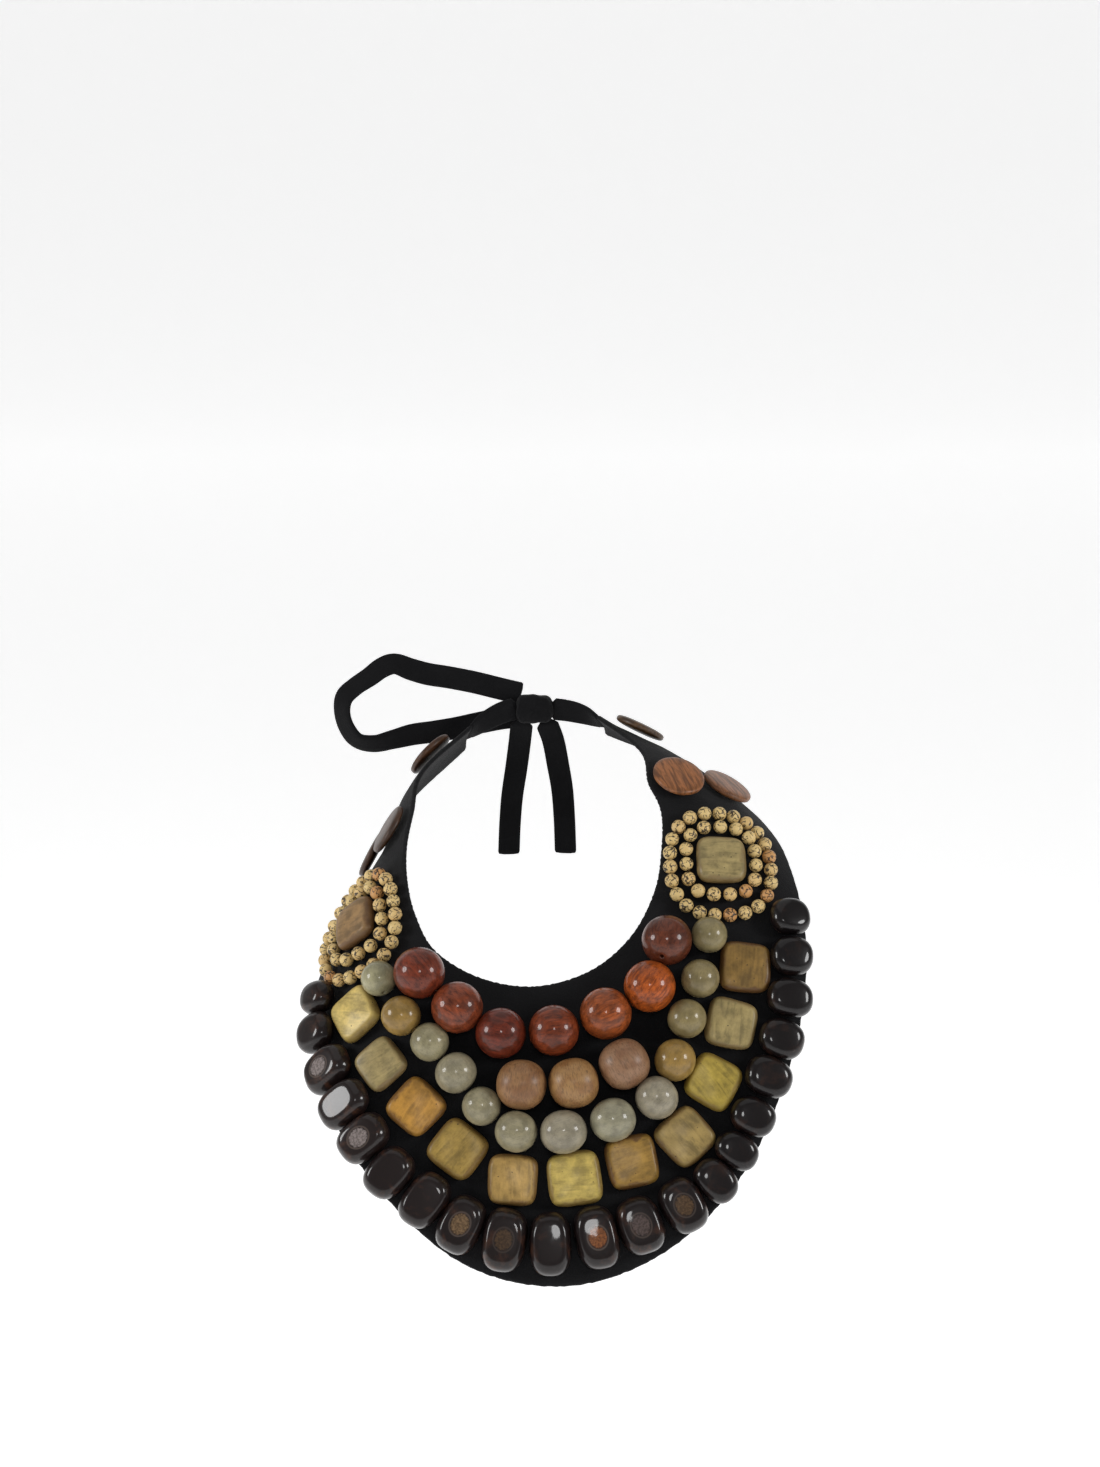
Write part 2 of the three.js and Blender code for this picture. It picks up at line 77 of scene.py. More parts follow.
# Columns: neck edge x, y, z, free edge x, y, z, bow of the cloth between them.
SECTIONS = np.array([
    (-28, 53, 42, -31, 66, 29, 1),
    (-49, 30, 27, -59, 53, 4, 1),
    (-53, 8, 14, -69, 45, -21, 2),
    (-55, -8, 3, -86, 17, -47, 4),
    (-54, -22, -8, -94, -15, -62, 4),
    (-50, -34, -20, -91, -47, -86, 3),
    (-41, -44, -33, -72, -80, -115, 3),
    (-22, -50, -43, -32, -99, -149, 2),
    (1, -52, -46, 12, -106, -158, 2),
    (24, -49, -40, 54, -99, -146, 2),
    (41, -42, -27, 88, -83, -116, 3),
    (51, -32, -10, 109, -61, -71, 3),
    (54, -20, 5, 115, -38, -32, 4),
    (54, -9, 18, 108, -7, -2, 6),
    (49, -3, 30, 93, 26, 11, 5),
    (46, 19, 39, 68, 42, 26, 3),
    (28, 51, 47, 32, 64, 36, 1),
], float)

# A row's path points are (section number, distance from the neck edge). Its other columns hold a value
# for each bead: its width along the row, its depth across it, a nudge along the row, and its look.
ROSEWOOD = {
    "path": [(-2.02, 13.6), (-1.4, 17.5), (-0.63, 22.8), (0.2, 21.7), (1, 21.5), (1.85, 23.5), (2.49, 16.8)],
    "widths": [21.5, 21.5, 21, 21, 21.5, 21.5, 21],
    "nudges": [0, -0.4, -0.8, 0, 0.9, 0.7, 0],
    "tints": [
        (0.8, 0.85, 0.85), (1, 1.25, 1.1), (0.65, 0.6, 0.6), (0.85, 0.95, 0.7), (1.4, 1.9, 1.1),
        (1.8, 2.2, 0.8), (0.55, 0.8, 0.85),
    ],
    "leans": [0, 0, 0, 0, 0, 0, 35],
}
TANWOOD = {
    "path": [(-0.3, 43.2), (0.4, 44.5), (1.1, 43.9)],
    "widths": [20.6, 20.6, 20.6],
    "nudges": [0, -0.4, 0],
    "tints": [(0.95, 0.95, 0.85), (1.1, 1.15, 0.9), (0.95, 1, 1.15)],
}
GREY = {
    "path": [
        (-2.62, 27), (-2.05, 32.2), (-1.6, 36), (-1.2, 43.5), (-0.8, 54), (-0.35, 62.5), (0.5, 63),
        (1.4, 62.4), (1.8, 53), (2.2, 43.5), (3.1, 31.8),
    ],
    "widths": [14.5, 16.5, 16, 16.5, 16, 17.5, 19.5, 19, 17.5, 17.5, 16.2, 16, 15],
    "nudges": [0, 2.9, 1.2, 0.2, -0.2, -0.5, -1, -0.9, -0.3, -1.7, -2.1, -2, 0],
    "depths": [15, 16.5, 16, 17.5, 16, 17, 18, 18, 18, 17, 16.2, 16, 15],
    "tints": [
        (1.15, 1.2, 1.1), (1, 0.7, 0.3), (1, 1, 0.9), (1, 1, 1), (1, 1, 0.95), (1, 1, 0.95), (1, 1, 1.1),
        (1, 1.05, 1.1), (1, 1, 1.1), (1, 0.7, 0.3), (0.82, 0.73, 0.5), (0.78, 0.7, 0.5), (0.8, 0.74, 0.55),
    ],
}
TILES = {
    "path": [
        (-2.79, 45.9), (-2.15, 53), (-1.6, 62.2), (-1.08, 72.5), (-0.45, 81.6), (0.9, 81.5), (1.53, 82.5),
        (2.08, 71.2), (2.6, 60.5), (3.19, 52),
    ],
    "widths": [21, 19.5, 21, 21.5, 21, 22.5, 21.5, 21.5, 21, 21, 21.5],
    "nudges": [0, 2, 1.6, 0.8, 2.1, 1.7, 0.7, -0.2, 0.1, 0.6, 0],
    "turns": [11, 3, 4, 2, 7, -3, -8, -5, -6, 5, 3],
    "tints": [
        (1.5, 1.6, 1.6), (0.85, 0.95, 1.4), (1.1, 0.8, 0.45), (0.85, 0.8, 0.6), (1.05, 0.95, 0.95),
        (1.35, 1.45, 1.25), (0.85, 0.7, 0.45), (0.85, 0.85, 0.95), (1.05, 1.1, 0.6), (0.9, 1, 1.4),
        (0.6, 0.5, 0.4),
    ],
    "grains": [45, 80, 100, 85, 95, 0, 10, 90, 70, 5, 0],
    "burns": [0.2, 0.3, 0.7, 0.4, 0.6, 0.5, 0.9, 0.6, 0.3, 0.3, 0.9],
}
SEEDS = {
    "path": [
        (-3.49, 57), (-3.17, 65.5), (-2.72, 70.5), (-2.33, 76), (-2, 83.5), (-1.68, 91.4), (-0.96, 102.5),
        (-0.53, 106.3), (0.4, 107.5), (1.28, 106.6), (1.65, 104.8), (1.95, 99.9), (2.6, 86.8), (3.3, 75.1),
        (4.06, 61.2),
    ],
    "widths": [
        14.5, 17, 18, 17.5, 17.5, 17.5, 17.5, 18, 18.5, 17.5, 18, 18.5, 18, 15.5, 14.5, 16, 17, 16.5, 16.5,
        17, 16,
    ],
    "nudges": [
        0, -0.7, 0, 0, -0.5, -0.5, -0.3, -0.6, -0.5, -0.4, 0.4, -0.2, 0.4, 0, -0.3, -0.6, -0.3, -0.7, -0.3,
        0, 0,
    ],
    "depths": [17, 19, 23, 24, 23, 22.5, 24, 24.5, 26, 26, 26, 24, 23, 20, 19, 19, 20, 19.5, 19.5, 18, 17.5],
    "hearts": [0, 0, 1, 0, 1, 0, 0, 0.9, 0.4, 0, 1, 0.7, 0.6, 0, 0, 0, 0, 0, 0, 0, 0],
    "strings": ["seed_string_left", "seed_string_front", "seed_string_right"],
    "cuts": [0, 0.1, 1, 0.9, 1, 0.9, 1, 1, 1, 0.9, 1, 1, 0.9, 0.1, 0, 0, 0.1, 0, 0, 0, 0],
    "skins": [
        0.8, 0.8, 1, 0.9, 1, 0.8, 0.8, 0.7, 0.7, 0.6, 0.6, 0.6, 0.5, 0.3, 0.2, 0.2, 0.3, 0.2, 0.2, 0.1, 0.1,
    ],
}
HEART_REACH = 4.3  # mm from the middle of a cut seed to the edge of its heart
PLAIN_HEART = (1, 1, 1)
# Tints of the hearts that aren't plain, by the seed's place in its row, counted from 0.
HEART_TINTS = {2: (1.7, 2.5, 5), 4: (1.7, 2.5, 5), 7: (1.3, 1.4, 1.5), 10: (1.5, 0.9, 0.6), 11: (0.8, 1, 1.9)}

# Half sections from the bottom pole to the top one: (share of the half width, share of the height).
TILE_SECTION = [
    (0, 0), (0.8, 0.02), (0.95, 0.15), (1, 0.4), (0.97, 0.65), (0.9, 0.85), (0.8, 0.95), (0.5, 1), (0, 1.03),
]
SEED_CUT = [
    (0, 0), (0.7, 0.03), (0.95, 0.25), (1, 0.45), (0.93, 0.72), (0.8, 0.9), (0.66, 0.97), (0.4, 0.99), (0, 1),
]
SEED_ROUND = [
    (0, 0), (0.6, 0.06), (0.93, 0.3), (1, 0.5), (0.96, 0.68), (0.86, 0.83), (0.68, 0.94), (0.4, 0.985),
    (0, 1),
]
ROSETTES = [
    {"side": "left", "at": -3.95, "out": 28, "tint": (0.7, 0.6, 0.85), "burn": 0.6, "grain": 80},
    {"side": "right", "at": 4.3, "out": 27, "tint": (0.85, 0.95, 1.4), "burn": 0.2, "grain": 93},
]
ROSETTE_TILE = 21
SMALL_HOLE = 0.55  # radius of the thread hole in a rosette's beads
RINGS = [
    {"name": "inner", "along": 15.2, "across": 14.4, "power": 3.2, "beads": 15, "shift": 0.3},
    {"name": "outer", "along": 23, "across": 21.3, "power": 2.6, "beads": 23, "shift": 1.5},
]
DISCS = [
    {"name": "disc_left_1", "at": -5.75, "out": 13, "lean": 0, "tint": (0.2, 0.22, 0.3)},
    {"name": "disc_left_2", "at": -5.85, "out": 38, "lean": 0, "tint": (0.2, 0.22, 0.3)},
    {"name": "disc_left_3", "at": -7.5, "out": 12, "lean": 0, "tint": (0.25, 0.25, 0.3)},
    {"name": "disc_right_1", "at": 5.95, "out": 12.5, "lean": -8, "tint": (1, 0.9, 0.8)},
    {"name": "disc_right_2", "at": 5.95, "out": 38, "lean": -6, "tint": (0.8, 0.8, 0.9)},
    {"name": "disc_right_3", "at": 7.5, "out": 12, "lean": 0, "tint": (0.3, 0.4, 0.5)},
]
DISC_HEIGHT = 4.0
DISC_LIFT = 1.6  # from the cloth to a disc's underside

# The tie. Columns: point x, y, z on the ribbon's middle line, and the way its flat side faces there.
TIE_LEFT = [
    (-28.3, 60.4, 36.5, -0.7, 0.4, 0.5),
    (-23.5, 62.6, 39.8, -0.5, 0.75, 0.3),
    (-18.5, 64.2, 42.6, -0.35, 0.9, 0.15),
    (-13.5, 65.2, 44.8, -0.22, 0.97, 0.05),
    (-8.9, 65.6, 46, -0.15, 0.99, 0),
]
TIE_RIGHT = [
    (28.8, 59, 41.9, 0.6, 0.4, 0.65),
    (24, 61.9, 43.5, 0.5, 0.7, 0.4),
    (19, 63.9, 44.7, 0.35, 0.88, 0.2),
    (14, 65.1, 45.5, 0.22, 0.96, 0.08),
    (8.9, 65.6, 46, 0.15, 0.99, 0),
]
TIE_LOOP = [
    (-6, 72.8, 51.5, 0, -1, 0.1),
    (-16, 72.4, 54, 0, -1, 0.1),
    (-27, 71.3, 57, 0, -1, 0.1),
    (-38, 69.8, 59.5, 0, -1, 0.1),
    (-47, 68.3, 61.3, 0, -1, 0.2),
    (-54.5, 66.5, 63.8, 0.1, -0.9, 0.4),
    (-61.5, 64, 66.8, 0.15, -0.8, 0.6),
    (-67, 62, 65.6, 0, -0.75, 0.65),
    (-73, 60.8, 61.4, -0.2, -0.7, 0.65),
    (-79, 59.3, 57.6, -0.4, -0.7, 0.6),
    (-83.8, 58.2, 53, -0.6, -0.75, 0.3),
    (-84.8, 57.6, 46.5, -0.7, -0.7, 0),
    (-82.9, 58.3, 39.3, -0.6, -0.75, -0.25),
    (-78.5, 59.8, 33.2, -0.35, -0.8, -0.5),
    (-71, 61.6, 31.2, 0, -0.85, -0.5),
    (-62.5, 64, 32.6, 0, -0.92, -0.35),
    (-54, 66.5, 34.2, 0, -1, -0.1),
    (-45, 68.5, 35, 0, -1, 0),
    (-35, 70.3, 36.3, 0, -1, 0),
    (-25, 71.8, 38.2, 0, -1, 0),
    (-15, 72.7, 40, 0, -1, 0),
    (-6, 72.8, 41, 0, -1, 0),
]
TAIL_LEFT = [
    (-5.6, 66.5, 38.8, 0, 1, 0.2),
    (-6.5, 69.5, 30, 0, 1, 0.2),
    (-8, 72, 18, 0, 1, 0.1),
    (-10, 73.2, 4, -0.2, 1, 0),
    (-11, 72.5, -9, -0.3, 1, 0),
    (-11.5, 72, -22, -0.3, 1, 0),
]
TAIL_RIGHT = [
    (5.8, 66.5, 38.8, 0, 1, 0.2),
    (8.5, 69.5, 30.5, 0, 1, 0.2),
    (10.5, 72, 19.5, 0, 1, 0.1),
    (12.5, 73.2, 7, 0.2, 1, 0),
    (13.5, 72.5, -7, 0.3, 1, 0),
    (14, 72, -21.5, 0.3, 1, 0),
]
KNOT = {"at": (0, 66, 46), "width": 17, "depth": 10, "height": 13}

# How far a ribbon runs on past the start and the finish of its middle line.
TIE_ENDS = (3.5, 1.5)
LOOP_ENDS = (0.3, 0.3)
TAIL_ENDS = (2.0, 0.3)

# ---- settings that a user would change -----------------------------------------------------------


def colour(name, description, default):
    return FloatVectorProperty(
        name=name, description=description, subtype="COLOR", size=3, min=0, max=1, default=default
    )


class ClothSettings(bpy.types.PropertyGroup):
    """The collar's suede and the tie's ribbon."""

    thickness: FloatProperty(
        name="Thickness", description="Thickness of the collar", default=2 * MM, min=MM, max=3 * MM,
        unit="LENGTH",
    )
    ribbon_width: FloatProperty(
        name="Ribbon width", description="Width of the tie", default=10 * MM, min=4 * MM, max=15 * MM,
        unit="LENGTH",
    )
    ribbon_thickness: FloatProperty(
        name="Ribbon thickness", description="Thickness of the tie", default=2.4 * MM, min=MM, max=4 * MM,
        unit="LENGTH",
    )
    suede: colour("Suede", "Colour of the collar", (0.006, 0.006, 0.0065))
    velvet: colour("Velvet", "Colour of the tie", (0.005, 0.005, 0.0055))


class BeadSettings(bpy.types.PropertyGroup):
    """Sizes and colours of the beads, tiles and discs."""

    hole: FloatProperty(
        name="Hole", description="Radius of a bead's thread hole", default=0.9 * MM, min=0.3 * MM, max=2 * MM,
        unit="LENGTH",
    )
    tile_height: FloatProperty(
        name="Tile height", description="Thickness of a horn tile", default=6 * MM, min=3 * MM, max=9 * MM,
        unit="LENGTH",
    )
    seed_height: FloatProperty(
        name="Seed height", description="Thickness of a dark seed", default=11 * MM, min=6 * MM, max=14 * MM,
        unit="LENGTH",
    )
    disc_width: FloatProperty(
        name="Disc width", description="Diameter of a shoulder disc", default=22.5 * MM, min=15 * MM,
        max=30 * MM, unit="LENGTH",
    )
    small_width: FloatProperty(
        name="Small bead", description="Diameter of a rosette's beads", default=6.1 * MM, min=4 * MM,
        max=7 * MM, unit="LENGTH",
    )
    around: IntProperty(
        name="Steps round", description="Steps round a bead", default=56, min=16, max=96
    )
    rosewood: colour("Rosewood", "The red wooden beads", (0.175, 0.030, 0.012))
    tanwood: colour("Tan wood", "The tan wooden beads", (0.225, 0.118, 0.055))
    grey: colour("Grey bead", "The grey-beige beads", (0.26, 0.23, 0.15))
    horn: colour("Horn", "The horn tiles", (0.34, 0.235, 0.066))
    # Also the colour of the painted shade on the tiles' bevels, besides their real burnt edges and lines.
    horn_burnt_and_shade: colour("Horn, burnt", "Brown of the tiles' edges", (0.085, 0.036, 0.012))
    seed: colour("Dark seed", "The polished seeds", (0.004, 0.003, 0.0034))
    seed_heart: colour("Seed heart", "The pale middle of a cut seed", (0.15, 0.085, 0.04))
    cream: colour("Speckled bead", "The rosettes' small beads", (0.66, 0.48, 0.20))
    disc: colour("Disc", "The shoulder discs", (0.26, 0.105, 0.036))


class StageSettings(bpy.types.PropertyGroup):
    """The camera's place and the studio round the necklace."""

    elevation: FloatProperty(
        name="Elevation", description="The camera's height angle", default=np.radians(13), subtype="ANGLE"
    )
    distance: FloatProperty(
        name="Distance", description="From the camera to the point it looks at", default=1.5, unit="LENGTH"
    )
    lens: FloatProperty(name="Lens", description="Focal length in millimetres", default=86.5, min=20, max=200)
    floor: FloatProperty(
        name="Floor drop", description="From the lowest bead down to the floor", default=0.12, unit="LENGTH"
    )


def settings():
    scene = bpy.context.scene
    return scene.necklace_cloth, scene.necklace_beads, scene.necklace_stage


# ---- curves and the cloth's surface --------------------------------------------------------------


def through(rows, place):
    """A smooth curve through equally spaced rows: on each span, the cubic whose slope at a row is half
    the step from the row before to the row after."""
    rows = np.asarray(rows, float)
    place = np.asarray(place, float)
    first = np.clip(np.floor(place).astype(int), 0, len(rows) - 2)
    t = (place - first)[..., None]
    padded = np.vstack([2 * rows[0] - rows[1], rows, 2 * rows[-1] - rows[-2]])
    a, b, c, d = (padded[first + k] for k in range(4))
    start, end = (c - a) / 2, (d - b) / 2
    cubic = 2 * b - 2 * c + start + end
    square = 3 * c - 3 * b - 2 * start - end
    return ((cubic * t + square) * t + start) * t + b


def unit(vectors):
    """Vectors divided by their own lengths."""
    return vectors / np.linalg.norm(vectors, axis=-1, keepdims=True)


def width_at(at):
    """Straight distance from the neck edge to the free edge at a section number."""
    row = through(SECTIONS, np.asarray(at, float) + LAST)
    return np.linalg.norm(row[..., 3:6] - row[..., 0:3], axis=-1)


def sheet(at, share):
    """The cloth's outer face: the straight line from neck edge to free edge, pushed out by
    4 * bow * share * (1 - share) along the normal of its own middle."""
    at, share = np.broadcast_arrays(np.asarray(at, float), np.asarray(share, float))
    small = 0.001
    row = through(SECTIONS, at + LAST)
    ahead = through(SECTIONS, np.minimum(at + small, LAST) + LAST)
    behind = through(SECTIONS, np.maximum(at - small, -LAST) + LAST)
    along = (ahead[..., 0:3] + ahead[..., 3:6]) - (behind[..., 0:3] + behind[..., 3:6])
    across = row[..., 3:6] - row[..., 0:3]
    out = unit(np.cross(across, along))
    share = share[..., None]
    return row[..., 0:3] + across * share + out * row[..., 6:7] * 4 * share * (1 - share)


def seat(at, share, lift=0.0):
    """Point lifted off the cloth along its normal, with the normal and the two directions in the cloth
    by central differences: change of the sheet per section and per share."""
    small = 0.001
    at, share = np.broadcast_arrays(np.asarray(at, float), np.asarray(share, float))
    high, low = np.minimum(at + small, LAST), np.maximum(at - small, -LAST)
    along = (sheet(high, share) - sheet(low, share)) / (high - low)[..., None]
    across = (sheet(at, share + small) - sheet(at, share - small)) / (2 * small)
    normal = unit(np.cross(across, along))
    return sheet(at, share) + normal * np.asarray(lift)[..., None], normal, along, across


def seats_under(targets, at, share, lift):
    """Seats straight under points near one place: Newton steps that solve for the section number and
    share whose seat leaves only an offset along the normal."""
    at, share = np.full(len(targets), float(at)), np.full(len(targets), float(share))
    for _ in range(8):
        point, _normal, along, across = seat(at, share, lift)
        off = targets - point
        aa, cc, ac = ((p * q).sum(1) for p, q in ((along, along), (across, across), (along, across)))
        ao, co = (along * off).sum(1), (across * off).sum(1)
        det = aa * cc - ac * ac
        at, share = at + (ao * cc - co * ac) / det, share + (co * aa - ao * ac) / det
    return seat(at, share, lift)


def row_seats(row, lift):
    """Seats of a row's beads: side by side along the row's path at the height of their middles, with
    equal gaps that make the first and last beads sit on the path's ends, then each nudged along it."""
    samples = 400
    at, out = through(row["path"], np.linspace(0, len(row["path"]) - 1, samples + 1)).T
    points = seat(at, out / width_at(at), lift)[0]
    steps = np.linalg.norm(np.diff(points, axis=0), axis=1)
    lengths = np.concatenate([[0], np.cumsum(steps)])
    widths = np.array(row["widths"], float)
    centres = np.concatenate([[0], np.cumsum((widths[1:] + widths[:-1]) / 2)])
    centres += np.arange(len(widths)) * (lengths[-1] - centres[-1]) / (len(widths) - 1)
    centres += row["nudges"]
    ahead = np.clip(np.searchsorted(lengths, centres - 1e-9), 1, samples)
    at, out = np.interp(centres, lengths, at), np.interp(centres, lengths, out)
    point, normal, _along, _across = seat(at, out / width_at(at))
    return point, normal, points[ahead] - points[ahead - 1]


def frame_of(point, normal, run, turn=0.0):
    """Rows x, y, z and origin of a bead's own frame: x along the row within the cloth, z off the cloth,
    then turned by an angle in degrees about z."""
    x = unit(run - normal * (run * normal).sum(-1, keepdims=True))
    y = np.cross(normal, x)
    c, s = np.cos(np.radians(turn)), np.sin(np.radians(turn))
    return np.stack([c * x + s * y, c * y - s * x, normal, point], axis=-2)


def leaned(bead_frame, lean):
    """The frame turned by an angle in degrees about its own x."""
    x, y, z, point = bead_frame
    c, s = np.cos(np.radians(lean)), np.sin(np.radians(lean))
    return np.stack([x, c * y + s * z, c * z - s * y, point])


def place(shape, bead_frame):
    """Local points carried into a frame of rows x, y, z and origin."""
    return shape @ bead_frame[:3] + bead_frame[3]


# ---- meshes --------------------------------------------------------------------------------------


def grid_faces(rows, columns, wrap_rows=False, wrap_columns=False):
    """Quads between neighbours of a grid of rows x columns points, optionally closed either way."""
    r = np.arange(rows if wrap_rows else rows - 1)
    c = np.arange(columns if wrap_columns else columns - 1)
    r, c = np.meshgrid(r, c, indexing="ij")
    r2, c2 = (r + 1) % rows, (c + 1) % columns
    quads = np.stack([r * columns + c, r * columns + c2, r2 * columns + c2, r2 * columns + c], axis=-1)
    return quads.reshape(-1, 4)


class Surface:
    """Points, faces and named numbers per point, gathered from several grids into one mesh."""

    VECTORS = ("own", "tint")

    def __init__(self):
        self.points, self.faces, self.marks, self.count = [], [], {}, 0

    def add(self, points, faces, **marks):
        """Adds points in millimetres. Faces is a list of arrays with a row of point numbers for each
        face, and each mark holds one value for all the points or one for each."""
        points = points.reshape(-1, 3)
        self.points.append(points)
        for some in faces:
            self.faces.extend((some + self.count).tolist())
        for name, values in marks.items():
            values = np.asarray(values, float)
            shape = (len(points), 3) if name in self.VECTORS else (len(points),)
            self.marks.setdefault(name, []).append(np.broadcast_to(values, shape))
        self.count += len(points)

    def make(self, name, material):
        """The mesh object, in metres, riding on the necklace's one body."""
        mesh = bpy.data.meshes.new(name)
        mesh.from_pydata((np.vstack(self.points) * MM).tolist(), [], self.faces)
        for mark, values in self.marks.items():
            kind = "FLOAT_VECTOR" if mark in self.VECTORS else "FLOAT"
            field = "vector" if mark in self.VECTORS else "value"
            stacked = np.concatenate(values).astype(np.float32)
            mesh.attributes.new(mark, kind, "POINT").data.foreach_set(field, stacked.ravel())
        mesh.polygons.foreach_set("use_smooth", np.ones(len(mesh.polygons), bool))
        mesh.materials.append(material)
        made = bpy.data.objects.new(name, mesh)
        bpy.context.scene.collection.objects.link(made)
        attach(made, "root")
        return made


def bead_shape(width, depth, hole, around, squareness=1.0):
    """A drilled bead turned about x: a superellipse from one end of the hole to the other, with a
    rounded lip, then back through the hole. x = -w/2 cos^k, r = d/2 sin^k of an angle."""
    steps = max(around // 2, 10)
    angle = np.linspace(0, np.pi, steps + 1)
    c, s = np.cos(angle), np.sin(angle)
    x = -width / 2 * np.sign(c) * np.abs(c) ** squareness
    r = depth / 2 * s ** squareness
    lip = hole * 1.35
    keep = r > lip
    end = width / 2 * (1 - (lip / (depth / 2)) ** 2 / 2)
    outer = np.stack([x[keep], r[keep]], axis=1)
    mouth = [(end, lip), (end - 0.25 * hole, hole * 1.05), (end - hole, hole)]
    inner = [(t, hole) for t in np.linspace(end - 1.6 * hole, -end + 1.6 * hole, 4)]
    back = [(-a, b) for a, b in mouth[::-1]]
    profile = np.vstack([outer, mouth, inner, back])
    turn = np.arange(around) * TAU / around
    ring_x = np.repeat(profile[:, 0:1], around, axis=1)
    points = np.stack([ring_x, profile[:, 1:2] * np.cos(turn), profile[:, 1:2] * np.sin(turn)], axis=-1)
    faces = grid_faces(len(profile), around, wrap_rows=True, wrap_columns=True)[:, ::-1]
    return points, [faces]


def dome(crown, rings):
    """A half section between poles: reach = cos^k and rise = (1 + sin^k) / 2 of an angle."""
    lean = np.linspace(-np.pi / 2, np.pi / 2, rings + 2)
    rise = (1 + np.sign(lean) * np.abs(np.sin(lean)) ** crown) / 2
    return np.stack([np.abs(np.cos(lean)) ** crown, rise], axis=1)


def drawn(points, rings):
    """A half section that runs smoothly through listed points."""
    return np.maximum(through(points, np.linspace(0, len(points) - 1, rings + 2)), 0)


def cushion_shape(width, depth, height, outline, section, around, wobble=0.0, seed=0):
    """A closed cushion on the plane z = 0. Outline: a superellipse of that power, with a few low waves.
    Section: rows of reach and rise from the bottom pole to the top one."""
    angle = (np.arange(around) + 0.5) * TAU / around
    c, s = np.cos(angle), np.sin(angle)
    reach = 1 / (np.abs(c) ** outline + np.abs(s) ** outline) ** (1 / outline)
    shift = np.random.default_rng(seed).uniform(0, TAU, 3)
    reach = reach * (1 + wobble * sum(np.sin((k + 1) * angle + shift[k]) / (k + 1) for k in range(3)))
    swell, rise = section[1:-1].T
    rings = len(swell)
    x = width / 2 * swell[:, None] * reach * c
    y = depth / 2 * swell[:, None] * reach * s
    z = np.repeat(height * rise[:, None], around, axis=1)
    body = np.stack([x, y, z], axis=-1).reshape(-1, 3)
    points = np.vstack([body, [[0, 0, height * section[0, 1]], [0, 0, height * section[-1, 1]]]])
    bottom, top = len(body), len(body) + 1
    k = np.arange(around)
    following = (k + 1) % around
    last = (rings - 1) * around
    under = np.stack([np.full(around, bottom), following, k], axis=1)
    over = np.stack([np.full(around, top), last + k, last + following], axis=1)
    return points, [grid_faces(rings, around, wrap_columns=True), under, over]


# ---- materials -----------------------------------------------------------------------------------


class Value:
    """A node's output, so that maths on it is written as an expression. Each operation adds one Math
    node."""

    def __init__(self, paint, socket):
        self.paint, self.socket = paint, socket

    def math(self, operation, *others, **settings):
        inputs = dict(enumerate((self, *others)))
        return self.paint.node("ShaderNodeMath", {"operation": operation, **settings}, inputs)

    def __add__(self, other):
        return self.math("ADD", other)

    __radd__ = __add__

    def __mul__(self, other):
        return self.math("MULTIPLY", other)

    __rmul__ = __mul__

    def __sub__(self, other):
        return self.math("SUBTRACT", other)

    def __rsub__(self, other):
        return self.paint.node("ShaderNodeMath", {"operation": "SUBTRACT"}, {0: other, 1: self})

    def clamped(self):
        return self.math("ADD", 0.0, use_clamp=True)

    def step(self, low, high):
        """0 below low, 1 above high and smooth between."""
        made = {"interpolation_type": "SMOOTHSTEP"}
        return self.paint.node("ShaderNodeMapRange", made, {"Value": self, "From Min": low, "From Max": high})


